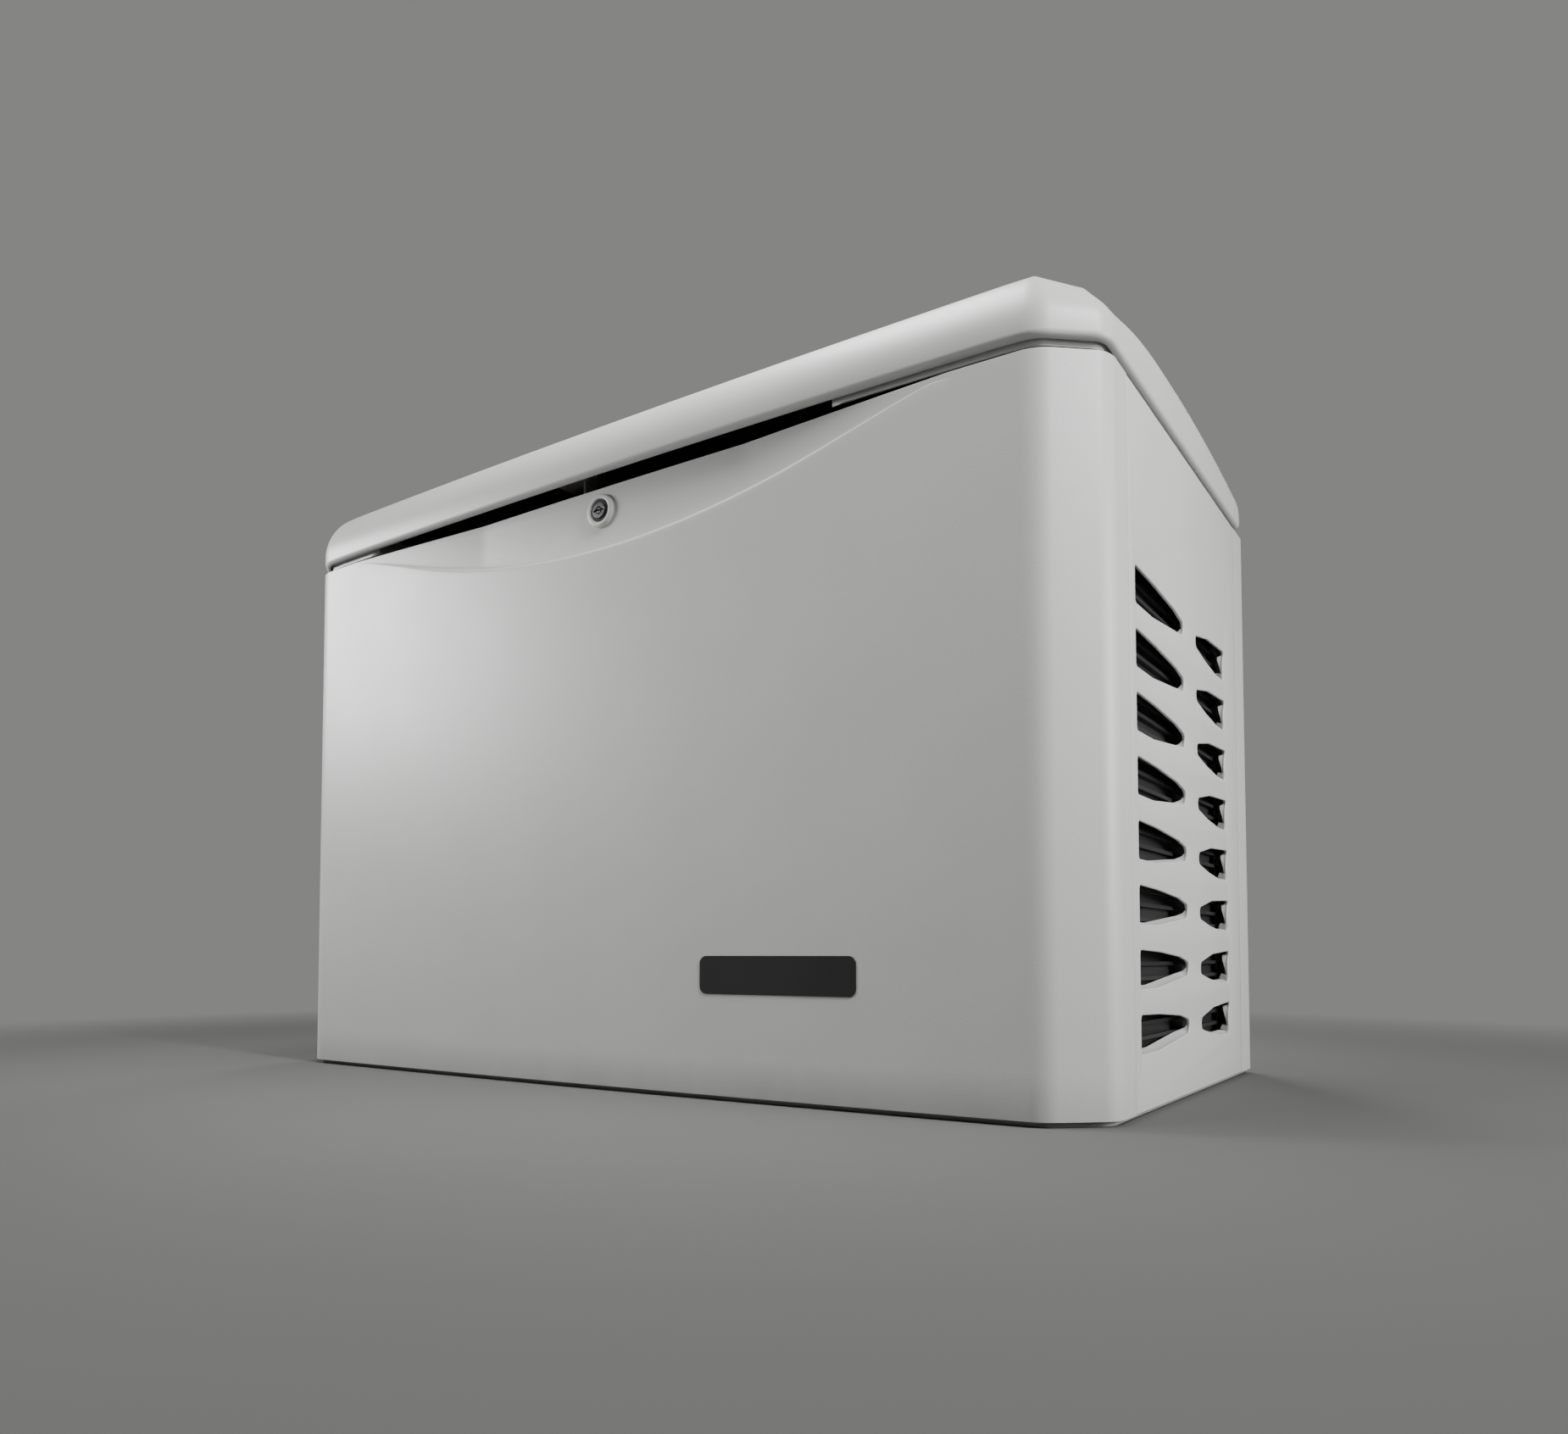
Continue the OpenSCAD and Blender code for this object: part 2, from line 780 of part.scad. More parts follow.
module lock_cam() {
    color(steel_colour)
        difference() {
            upright(rounded_outline([[-8, lock_height - 9, 5], [8, lock_height - 9, 5],
                [8, lock_height + 37, 4], [-8, lock_height + 37, 4]], 0, 4), -278.9, -276.2);
            box([-4.02, -290, lock_height - 4.02], [4.02, -270, lock_height + 4.02]);
        }
}

// ---- engine ----

module engine_cradle() {
    color(dark_colour)
        difference() {
            union() {
                box([-335, -175, 84], [330, 175, cradle_top]);
                for (y = [-175, 171])
                    box([-335, y, 84], [330, y + 4, 110]);
            }
            for (x = [-180, 20])
                box([x - 70, -110, 80], [x + 40, 140, 100]);
            for (x = [-300, 290], y = [-150, 150])
                rod_z(80, 100, 5.2, x, y);
        }
}

module vibration_mounts() {
    color(dark_colour)
        for (x = [-300, 290], y = [-150, 150])
            difference() {
                union() {
                    rod_z(44, 84, 16, x, y);
                    rod_z(44, 50, 20, x, y);
                    rod_z(78, 84, 20, x, y);
                }
                rod_z(40, 90, 5, x, y);
            }
}

module crankcase() {
    color(casting_colour)
        difference() {
            union() {
                rod_x(60, 250, 108, crank_y, crank_z);
                box([66, -86, cradle_top], [244, 126, crank_z]);
                for (x = [60, 236])
                    box([x, -100, cradle_top], [x + 14, 140, cradle_top + 12]);
                rod_x(56, 62, 70, crank_y, crank_z);
                for (place = cylinder_places)
                    on_cylinder(place)
                        cylinder(r = 60, h = 112);
                rod_y(-96, -80, 34, 92, 190);
                translate(filler_origin)
                    rotate([filler_tilt, 0, 0])
                        cylinder(r = 15, h = 52);
            }
            rod_x(50, 260, shaft_radius + running_clearance, crank_y, crank_z);
            rod_x(66, 244, 84, crank_y, crank_z);
            for (place = cylinder_places)
                on_cylinder(place)
                    translate([0, 0, 60])
                        cylinder(r = 42, h = 60);
            translate(filler_origin)
                rotate([filler_tilt, 0, 0])
                    cylinder(r = 10, h = 60);
        }
}

module cylinders() {
    color(casting_colour)
        for (place = cylinder_places)
            on_cylinder(place)
                difference() {
                    union() {
                        translate([0, 0, 112])
                            cylinder(r = 50, h = 104);
                        translate([0, 0, 112])
                            cylinder(r = 60, h = 6);
                        for (i = [0:fin_count - 1])
                            translate([0, 0, 124 + i * 10])
                                cylinder(r = fin_radius, h = 3);
                    }
                    translate([0, 0, 110])
                        cylinder(r = 40, h = 110);
                }
}

module cylinder_heads() {
    color(casting_colour)
        for (place = cylinder_places)
            on_cylinder(place)
                difference() {
                    union() {
                        translate([-52, -56, 216])
                            cube([104, 112, 12]);
                        translate([-46, -48, 228])
                            cube([92, 96, 42]);
                        for (i = [0:3])
                            translate([-54, -60, 232 + i * 10])
                                cube([108, 120, 3]);
                    }
                    translate([0, 0, 215])
                        cylinder(r = 38, h = 10);
                    translate([0, 30 * sign(place[1]), 240])
                        rotate([0, 90, 0])
                            cylinder(r = 12, h = 80);
                    translate([-20, 0, 240])
                        rotate([90 * sign(place[1]), 0, 0])
                            cylinder(r = 14, h = 80);
                }
}

module rocker_covers() {
    color(dark_colour)
        for (place = cylinder_places)
            on_cylinder(place)
                difference() {
                    union() {
                        rounded_box([-46, -46, 270], [46, 46, 296], 12);
                        rounded_box([-50, -50, 270], [50, 50, 274], 12);
                        translate([0, 0, 296])
                            cylinder(r = 5, h = 5);
                    }
                    rounded_box([-43, -43, 269], [43, 43, 293], 10);
                }
}

module blower_housing() {
    color(dark_colour)
        difference() {
            union() {
                rod_x(253, 328, 150, crank_y, crank_z);
                box([253, crank_y - 150, crank_z], [322, crank_y + 150, crank_z + 118]);
            }
            rod_x(256, 325, 146, crank_y, crank_z);
            box([256, crank_y - 146, crank_z], [319, crank_y + 146, crank_z + 122]);
            rod_x(250, 260, 60, crank_y, crank_z);
            rod_x(320, 330, 102, crank_y, crank_z);
            rod_x(250, 260, 22, starter_y, starter_z);
        }
}

module flywheel_fan() {
    color(casting_colour)
        difference() {
            union() {
                rod_x(270, 284, 124, crank_y, crank_z);
                rod_x(262, 300, 34, crank_y, crank_z);
                rod_x(270, 276, 130, crank_y, crank_z);
                for (i = [0:fan_blades - 1])
                    translate([0, crank_y, crank_z])
                        rotate([i * 360 / fan_blades, 0, 0])
                            translate([283, -2, 60])
                                rotate([12, 0, 0])
                                    cube([28, 4, 58]);
            }
            rod_x(255, 310, shaft_radius, crank_y, crank_z);
        }
}

module crankshaft() {
    throw_x = [for (place = cylinder_places) place[0]];
    color(steel_colour) {
        rod_x(40, 100, shaft_radius, crank_y, crank_z);
        rod_x(196, 306, shaft_radius, crank_y, crank_z);
        rod_x(96, 200, 16, crank_y, crank_z + 30);
        for (x = [88, 196])
            difference() {
                rod_x(x, x + 12, 62, crank_y, crank_z - 12);
                box([x - 1, crank_y - 90, crank_z + 46], [x + 13, crank_y + 90, crank_z + 90]);
            }
        translate([306, crank_y, crank_z])
            rotate([0, 90, 0])
                cylinder(r = 14, h = 12, $fn = 6);
    }
}

// Pipes from the mixer down to the two intake ports
module intake_manifold() {
    color(casting_colour)
        difference() {
            union() {
                for (place = cylinder_places) {
                    out = sign(place[1]);
                    bent_tube([[mixer_x, crank_y, 473], [place[0] - 20, crank_y + out * 48, 474],
                        [place[0] - 20, crank_y + out * 96, 508],
                        [place[0] - 20, crank_y + out * 138, 487]], 13, 16, 4);
                }
                rod_z(460, 486, 19, mixer_x, crank_y);
                box([mixer_x - 28, crank_y - 24, 485], [mixer_x + 28, crank_y + 24, 490]);
            }
            rod_z(474, 500, 14, mixer_x, crank_y);
            for (place = cylinder_places)
                on_cylinder(place)
                    translate([-80, -60.2, 200])
                        cube([160, 120.4, 80]);
        }
}

module fuel_mixer() {
    color(casting_colour)
        difference() {
            union() {
                rod_z(490, 524, 24, mixer_x, crank_y);
                box([mixer_x - 28, crank_y - 24, 490], [mixer_x + 28, crank_y + 24, 496]);
                box([mixer_x - 30, crank_y - 30, 522], [mixer_x + 30, crank_y + 30, 528]);
                rod_x(100, mixer_x, 9, crank_y, 508);
                rod_y(crank_y - 40, crank_y, 5, mixer_x, 506);
            }
            rod_z(480, 540, 15, mixer_x, crank_y);
            rod_x(90, 140, 6, crank_y, 508);
        }
}

module air_filter_housing() {
    color(dark_colour)
        difference() {
            union() {
                rounded_box([48, crank_y - 96, 528], [248, crank_y + 96, 566], 20);
                rounded_box([44, crank_y - 100, 566], [252, crank_y + 100, 570], 22);
                rounded_box([52, crank_y - 92, 570], [244, crank_y + 92, 606], 20);
                for (y = [-60, 0, 60])
                    rounded_box([80, crank_y + y - 12, 606], [216, crank_y + y + 12, 610], 10);
                for (x = [100, 196])
                    rod_z(606, 618, 10, x, crank_y - 86);
            }
            rounded_box([51, crank_y - 93, 531], [245, crank_y + 93, 564], 18);
            rounded_box([56, crank_y - 88, 563], [240, crank_y + 88, 602], 18);
            rod_z(520, 540, 15, mixer_x, crank_y);
        }
}

module gas_regulator() {
    color(casting_colour) {
        rod_y(206, 216, 66, fuel_x, 500);
        rod_y(216, 222, 74, fuel_x, 500);
        rod_y(222, 246, 60, fuel_x, 500);
        rod_y(246, 262, 22, fuel_x, 500);
        rod_z(412, 450, 17, fuel_x, 234);
        rod_x(fuel_x + 50, fuel_x + 90, 9, 232, 500);
        for (i = [0:7])
            translate([fuel_x, 214, 500])
                rotate([0, i * 45, 0])
                    translate([69, 0, 0])
                        rotate([-90, 0, 0])
                            cylinder(r = 3.5, h = 12, $fn = 6);
    }
}

// Gas line from the inlet behind, through the shut-off valve, to the regulator,
// and the hose from the regulator to the mixer
module gas_pipe() {
    color(steel_colour)
        difference() {
            union() {
                rod_y(262, 313, 19, fuel_x, 150);
                pipe_run([[fuel_x, 264, 150], [fuel_x, 234, 150], [fuel_x, 234, 412]], 13);
                rod_z(204, 260, 19, fuel_x, 234);
                rod_x(fuel_x, fuel_x + 30, 8, 234, valve_z);
                rod_x(fuel_x + 29, fuel_x + 36, 2.5, 234, valve_z);
                rod_z(290, 318, 21, fuel_x, 234);
                box([fuel_x - 44, 220, 292], [fuel_x - 18, 250, 346]);
            }
            rod_y(295, 320, 12, fuel_x, 150);
        }
    color(dark_colour)
        bent_tube([[fuel_x + 90.5, 232, 500], [0, 232, 500], [52, 190, 504],
            [76, 110, 508], [78, 50, 508], [84, 30, 508], [99, crank_y, 508]], 8.5, 12, 3);
}

module fuel_valve_handle() {
    color([0.75, 0.14, 0.10])
        difference() {
            union() {
                rod_x(fuel_x + 30.2, fuel_x + 34, 12, 234, valve_z);
                box([fuel_x + 30.2, 227, valve_z], [fuel_x + 34, 241, valve_z + 70]);
                rod_x(fuel_x + 30.2, fuel_x + 34, 7, 234, valve_z + 70);
            }
            rod_x(fuel_x + 20, fuel_x + 40, 2.5 + running_clearance, 234, valve_z);
        }
}

module oil_filter() {
    color([0.78, 0.78, 0.80]) {
        rod_y(-178, -96, 37, 92, 190);
        rod_y(-101, -96.2, 39, 92, 190);
        for (i = [0:11])
            translate([92, -178, 190])
                rotate([0, i * 30, 0])
                    translate([-3, 0, 33])
                        cube([6, 22, 4.6]);
    }
}

module oil_filler_cap() {
    color([0.85, 0.65, 0.05])
        translate(filler_origin)
            rotate([filler_tilt, 0, 0]) {
                translate([0, 0, 52])
                    cylinder(r = 19, h = 12);
                translate([-16, -3, 63.5])
                    cube([32, 6, 9]);
                translate([0, 0, 10])
                    cylinder(r = 2.5, h = 43);
            }
}

module spark_plugs() {
    for (place = cylinder_places)
        on_cylinder(place)
            translate([54.2, -24 * sign(place[1]), 250])
                rotate([0, 90, 0]) {
                    color(steel_colour)
                        cylinder(r = 8, h = 8, $fn = 6);
                    color([0.92, 0.92, 0.90])
                        translate([0, 0, 7])
                            cylinder(r = 5, h = 20);
                    color(dark_colour)
                        translate([0, 0, 24])
                            cylinder(r = 9, h = 28);
                }
}

module starter_motor() {
    color(dark_colour)
        rod_x(136, 226, 35, starter_y, starter_z);
    color(casting_colour) {
        rod_x(226, 248, 36, starter_y, starter_z);
        rod_x(248, 252.8, 20, starter_y, starter_z);
        box([140, -160, 236], [186, -130, 268]);
    }
    color(dark_colour)
        rod_x(133, 190, 17, -151, 238);
    color(copper_colour)
        for (y = [-158, -144])
            rod_x(122, 134, 4, y, 238);
}

module exhaust_pipes() {
    color([0.45, 0.40, 0.36])
        for (place = cylinder_places) {
            port = [place[0] + 55, crank_y + sign(place[1]) * 190.9, 438.4];
            side = sign(place[1]);
            rod_x(port.x, port.x + 8, 26, port.y, port.z);
            bent_tube([port + [2, 0, 0], [330, port.y, port.z], [374, side * 180, 390],
                [398, side * 128, 322], [405, side * 110, 296], [405, side * 110, 268.5]], 14, 16, 4);
        }
}

module muffler() {
    color([0.48, 0.46, 0.44]) {
        rod_y(-185, 185, 78, 420, 190);
        for (y = [-188, 180])
            rod_y(y, y + 8, 82, 420, 190);
        for (y = [-60, 60])
            rod_y(y - 3, y + 3, 81, 420, 190);
        for (y = [-110, 110])
            rod_z(240, 268, 20, 405, y);
        rod_x(480, 566, 21, -40, 160);
    }
    color(steel_colour)
        for (y = [-150, 150])
            box([380, y - 15, 4], [460, y + 15, 118]);
}

module heat_shield() {
    color(steel_colour)
        difference() {
            union() {
                box([506, -200, 96], [508, 200, 300]);
                box([336.5, -215, 300], [508, 215, 302]);
                box([506, -200, 90], [520, 200, 92]);
                box([506, -200, 92], [508, 200, 97]);
                for (y = [-190, 170])
                    box([508, y, 4], [512, y + 20, 110]);
            }
            rod_x(500, 530, 26, -40, 160);
            for (y = [-150, 150])
                box([340, y - 60, 290], [425, y + 62, 310]);
            for (z = [130:20:270], y = [-140, 0, 140])
                box([500, y - 40, z], [520, y + 40, z + 8]);
        }
}

// ---- alternator ----

module stator_housing() {
    color(casting_colour)
        difference() {
            union() {
                rod_x(-288, 30, stator_radius, crank_y, crank_z);
                rod_x(30, 56, 104, crank_y, crank_z);
                rod_x(-292, -280, stator_radius + 6, crank_y, crank_z);
                rod_x(20, 34, stator_radius + 6, crank_y, crank_z);
                for (i = [0:23])
                    translate([-276, crank_y, crank_z])
                        rotate([i * 15, 0, 0])
                            translate([0, -2, stator_radius - 1])
                                cube([292, 4, 7]);
                for (x = [-276, -10])
                    box([x, crank_y - 95, cradle_top], [x + 20, crank_y + 95, crank_z - 60]);
            }
            rod_x(-300, 20, 95, crank_y, crank_z);
            rod_x(10, 60, 71, crank_y, crank_z);
            for (i = [0:9])
                translate([-8, crank_y, crank_z])
                    rotate([i * 36, 0, 0])
                        translate([-6, -14, 70])
                            cube([20, 28, 80]);
        }
    color(copper_colour)
        for (x = [-240, -60])
            difference() {
                rod_x(x - 24, x + 24, 95, crank_y, crank_z);
                rod_x(x - 30, x + 30, 92, crank_y, crank_z);
            }
}

module end_bracket() {
    color(casting_colour)
        difference() {
            union() {
                rod_x(-302, -292, stator_radius + 4, crank_y, crank_z);
                rod_x(-318, -300, 42, crank_y, crank_z);
                for (i = [0:3])
                    translate([-305, crank_y, crank_z])
                        rotate([45 + i * 90, 0, 0])
                            translate([-3, -6, 30])
                                cube([6, 12, 84]);
            }
            rod_x(-330, -280, 15 + running_clearance, crank_y, crank_z);
            for (i = [0:7])
                translate([-310, crank_y, crank_z])
                    rotate([22.5 + i * 45, 0, 0])
                        translate([0, -12, 55])
                            cube([20, 24, 40]);
        }
}

module rotor() {
    color(steel_colour) {
        difference() {
            rod_x(-250, -40, 90, crank_y, crank_z);
            for (i = [0:3])
                translate([-255, crank_y, crank_z])
                    rotate([i * 90, 0, 0])
                        translate([0, -12, 62])
                            cube([220, 24, 40]);
        }
        rod_x(-316, -250, 15, crank_y, crank_z);
        rod_x(-40, 40, 24, crank_y, crank_z);
    }
    color(dark_colour) {
        rod_x(-28, -24, 68, crank_y, crank_z);
        for (i = [0:11])
            translate([-24, crank_y, crank_z])
                rotate([i * 30, 0, 0])
                    translate([-1, -1.5, 30])
                        cube([24, 3, 38]);
    }
}

// ---- electrics ----

module battery() {
    color(dark_colour) {
        rounded_box([-540, -255, 4], [-370, -55, 178], 8);
        rounded_box([-542, -257, 178], [-368, -53, 196], 8);
        for (y = [-238, -212, -186, -134, -108, -82])
            rod_z(196, 200, 9, -480, y);
    }
    color(steel_colour)
        for (y = [-228, -82])
            rod_z(196, 212, 8, -395, y);
}

module battery_strap() {
    color(steel_colour) {
        box([-545.5, -175, 196.2], [-364.5, -145, 199.2]);
        for (x = [-545.5, -367.5])
            box([x, -175, 4], [x + 3, -145, 199]);
        for (x = [-565, -367.5])
            box([x, -175, 4], [x + 22.5, -145, 7]);
    }
}

module battery_cables() {
    color([0.62, 0.08, 0.06]) {
        rod_z(212, 224, 10, -395, -228);
        bent_tube([[-395, -228, 224], [-394, -226, 238], [-345, -200, 236], [-240, -190, 240],
            [-40, -205, 240], [60, -196, 246], [102, -160, 238], [120.5, -158, 238]], 6, 8, 3);
    }
    color(dark_colour) {
        rod_z(212, 224, 10, -395, -82);
        bent_tube([[-395, -82, 224], [-394, -60, 238], [-388, 60, 200], [-380, 150, 160],
            [-345, 180, 150], [-318, 188, 140], [-300, 187, 122], [-300, 184, 100]], 6, 8, 3);
    }
}

button_names = [[-500, "off"], [-470, "auto"], [-440, "manual"]];
panel_z = 668;

module controller_box() {
    color(dark_colour)
        difference() {
            union() {
                rounded_box([-538, -218, 540], [bulkhead_x, -60, 656], 10);
                rounded_box([-542, -222, 656], [bulkhead_x, -56, panel_z], 10);
                rounded_box([-516, -126, panel_z], [-424, -72, panel_z + 2.5], 5);
            }
            rounded_box([-535, -215, 543], [-352, -63, 662], 8);
            for (b = button_names)
                rod_z(650, 690, 10.1, b[0], -190);
            rod_z(650, 690, 8.1, -390, -190);
            rounded_box([-510, -120, panel_z + 1.2], [-430, -78, panel_z + 5], 3);
            for (i = [0:3])
                rod_z(650, 690, 2.2, -405, -120 + i * 14);
        }
    color([0.35, 0.42, 0.32])
        rounded_box([-509.8, -119.8, panel_z + 1.2], [-430.2, -78.2, panel_z + 1.9], 3);
    color([0.15, 0.5, 0.2])
        for (i = [0:3])
            rod_z(661, panel_z + 1, 2.1, -405, -120 + i * 14);
    color(steel_colour)
        rod_z(648, panel_z + 6, 8, -390, -190);
}

module control_button(index, tint) {
    color(tint)
        difference() {
            union() {
                rod_z(655, panel_z + 5, 10, button_names[index][0], -190);
                rod_z(652, 661.7, 12, button_names[index][0], -190);
            }
            translate([button_names[index][0], -190, panel_z + 26])
                sphere(r = 22);
        }
}

module button_off() {
    control_button(0, [0.70, 0.12, 0.10]);
}

module button_auto() {
    control_button(1, [0.15, 0.45, 0.20]);
}

module button_manual() {
    control_button(2, [0.15, 0.25, 0.55]);
}

breaker_x = -450;
breaker_y = 20;

module main_breaker() {
    color(dark_colour)
        difference() {
            union() {
                rounded_box([breaker_x - 55, breaker_y - 40, 560], [breaker_x + 55, breaker_y + 40, 640], 4);
                rounded_box([breaker_x - 30, breaker_y - 26, 640], [breaker_x + 30, breaker_y + 26, 652], 4);
                box([breaker_x + 54, breaker_y - 20, 580], [bulkhead_x, breaker_y + 20, 586]);
                box([bulkhead_x - 4, breaker_y - 20, 560], [bulkhead_x, breaker_y + 20, 610]);
            }
            box([breaker_x - 14, breaker_y - 22, 618], [breaker_x + 14, breaker_y + 22, 660]);
            rod_x(breaker_x - 20, breaker_x + 20, 4 + running_clearance, breaker_y, 634);
        }
}

module breaker_toggle() {
    color([0.10, 0.10, 0.10])
        translate([breaker_x, breaker_y, 634])
            rotate([28, 0, 0]) {
                translate([-19, 0, 0])
                    rotate([0, 90, 0])
                        cylinder(r = 4, h = 38);
                translate([-12, 0, 0])
                    rotate([0, 90, 0])
                        cylinder(r = 10, h = 24);
                translate([-11, -4, 0])
                    cube([22, 8, 40]);
            }
}

base_tray();
front_panel();
left_panel();
right_panel();
rear_panel();
side_baffles();
upper_frame();
bulkhead();
panel_screws();
badge_plate();
lid_shell();
lid_rim();
lid_liner();
lid_gasket();
lid_keeper();
hinge_lid_leaves();
hinge_body_leaves();
strut_body_studs();
strut_lid_studs();
strut_cylinder_left();
strut_cylinder_right();
strut_rod_left();
strut_rod_right();
lock_bezel();
lock_cylinder();
lock_cam();
engine_cradle();
vibration_mounts();
crankcase();
cylinders();
cylinder_heads();
rocker_covers();
blower_housing();
flywheel_fan();
crankshaft();
intake_manifold();
air_filter_housing();
fuel_mixer();
gas_regulator();
fuel_valve_handle();
gas_pipe();
oil_filter();
oil_filler_cap();
spark_plugs();
starter_motor();
exhaust_pipes();
muffler();
heat_shield();
stator_housing();
end_bracket();
rotor();
battery();
battery_strap();
battery_cables();
controller_box();
button_off();
button_auto();
button_manual();
main_breaker();
breaker_toggle();
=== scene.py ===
import json
import math
import bpy
import bmesh
from mathutils import Matrix, Vector

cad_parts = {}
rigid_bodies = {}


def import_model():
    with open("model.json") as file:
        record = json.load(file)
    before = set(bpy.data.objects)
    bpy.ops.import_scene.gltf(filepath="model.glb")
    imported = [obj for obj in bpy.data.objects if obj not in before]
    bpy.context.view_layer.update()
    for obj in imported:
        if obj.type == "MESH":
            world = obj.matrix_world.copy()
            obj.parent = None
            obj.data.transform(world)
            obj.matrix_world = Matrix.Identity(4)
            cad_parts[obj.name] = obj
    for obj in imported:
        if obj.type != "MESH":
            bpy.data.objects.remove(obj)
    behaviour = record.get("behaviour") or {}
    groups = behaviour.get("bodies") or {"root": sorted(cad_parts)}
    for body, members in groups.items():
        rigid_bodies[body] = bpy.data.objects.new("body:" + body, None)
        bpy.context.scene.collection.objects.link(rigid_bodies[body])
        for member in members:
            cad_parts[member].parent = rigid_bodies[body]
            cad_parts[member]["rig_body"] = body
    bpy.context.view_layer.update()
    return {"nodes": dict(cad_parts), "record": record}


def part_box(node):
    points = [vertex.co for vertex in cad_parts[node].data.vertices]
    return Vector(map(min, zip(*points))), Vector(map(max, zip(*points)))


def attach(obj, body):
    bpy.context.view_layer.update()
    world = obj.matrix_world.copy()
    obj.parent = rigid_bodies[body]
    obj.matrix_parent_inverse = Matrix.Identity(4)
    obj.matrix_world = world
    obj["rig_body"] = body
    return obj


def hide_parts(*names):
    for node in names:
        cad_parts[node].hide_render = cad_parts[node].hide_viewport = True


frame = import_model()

MM = 0.001

# ---- camera ----

camera = bpy.data.objects.new("camera", bpy.data.cameras.new("camera"))
bpy.context.scene.collection.objects.link(camera)
bpy.context.scene.camera = camera
camera.location = (0.9058, -1.2743, 0.1563)
camera.rotation_euler = (math.pi / 2 + 0.0426, 0.0, 0.6002)
camera.data.sensor_width = 36.0
camera.data.lens = 25.52
camera.data.shift_x = 0.0119
camera.data.shift_y = 0.1213

# ---- shader maths ----


class Wire:
    """A node's output that takes arithmetic."""

    def __init__(self, finish, socket):
        self.finish, self.socket = finish, socket

    def work(self, kind, *values):
        return self.finish.node("ShaderNodeMath", {"operation": kind}, dict(enumerate(values)))

    def __add__(self, other): return self.work("ADD", self, other)
    def __radd__(self, other): return self.work("ADD", other, self)
    def __sub__(self, other): return self.work("SUBTRACT", self, other)
    def __rsub__(self, other): return self.work("SUBTRACT", other, self)
    def __mul__(self, other): return self.work("MULTIPLY", self, other)
    def __rmul__(self, other): return self.work("MULTIPLY", other, self)
    def __truediv__(self, other): return self.work("DIVIDE", self, other)
    def __pow__(self, other): return self.work("POWER", self, other)

    def clamped(self):
        return self.work("MAXIMUM", self.work("MINIMUM", self, 1.0), 0.0)


class Finish:
    """A material built round one Principled shader."""

    def __init__(self, name, **constants):
        self.material = bpy.data.materials.new(name)
        self.material.use_nodes = True
        self.tree = self.material.node_tree
        self.tree.nodes.clear()
        output = self.tree.nodes.new("ShaderNodeOutputMaterial")
        self.shader = self.tree.nodes.new("ShaderNodeBsdfPrincipled")
        self.tree.links.new(self.shader.outputs[0], output.inputs["Surface"])
        for socket, value in constants.items():
            self.shader.inputs[socket.replace("_", " ")].default_value = value
        self.place = self.node("ShaderNodeTexCoord", {}, {}, "Object")

    def node(self, kind, settings, inputs, output=0):
        made = self.tree.nodes.new(kind)
        for key, value in settings.items():
            if key == "stops":
                ramp = made.color_ramp
                while len(ramp.elements) < len(value):
                    ramp.elements.new(0.5)
                for element, (at, colour) in zip(ramp.elements, value):
                    element.position, element.color = at, (*colour, 1.0)
            else:
                setattr(made, key, value)
        for key, value in inputs.items():
            if isinstance(value, Wire):
                self.tree.links.new(value.socket, made.inputs[key])
            else:
                made.inputs[key].default_value = value
        return Wire(self, made.outputs[output])

    def feed(self, socket, wire):
        self.tree.links.new(wire.socket, self.shader.inputs[socket])

    def stretched(self, scale):
        return self.node("ShaderNodeMapping", {}, {"Vector": self.place, "Scale": scale})

    def noise(self, size, detail=3.0, roughness=0.55, stretch=None):
        """Noise whose blotches are about size metres across."""
        where = self.stretched(stretch) if stretch else self.place
        return self.node("ShaderNodeTexNoise", {}, {"Vector": where, "Scale": 1.0 / size,
                         "Detail": detail, "Roughness": roughness})

    def cells(self, size):
        """Distance from the middle of cells about size metres across."""
        return self.node("ShaderNodeTexVoronoi", {},
                         {"Vector": self.place, "Scale": 1.0 / size}, "Distance")

    def mixed(self, factor, first, second):
        made = self.tree.nodes.new("ShaderNodeMix")
        made.data_type = "RGBA"
        for index, value in ((0, factor), (6, first), (7, second)):
            if isinstance(value, Wire):
                self.tree.links.new(value.socket, made.inputs[index])
            else:
                made.inputs[index].default_value = value if index == 0 else (*value, 1.0)
        return Wire(self, made.outputs[2])

    def bump(self, height, depth):
        """Surface relief of about depth metres."""
        self.feed("Normal", self.node("ShaderNodeBump", {}, {
            "Strength": 1.0, "Distance": depth, "Height": height}, "Normal"))


def shade(colour, factor):
    return tuple(min(1.0, c * factor) for c in colour)


def moulded(name, colour, roughness, grain, relief, wear=0.06, **constants):
    """Moulded plastic or paint with a fine grain and faint mottling in broad lighter and darker
    blotches.
    """
    f = Finish(name, **constants)
    fine = f.noise(grain, 4.0, 0.6)
    broad = f.noise(0.11, 3.0)
    pores = f.cells(grain * 1.6)
    f.feed("Base Color", f.mixed((broad * 1.3 - 0.15).clamped(), shade(colour, 1 - wear),
                                 shade(colour, 1 + wear)))
    f.feed("Roughness", roughness + (fine - 0.5) * 0.14 + (broad - 0.5) * 0.1)
    f.bump(fine * 0.6 + pores * 0.5, relief)
    return f.material


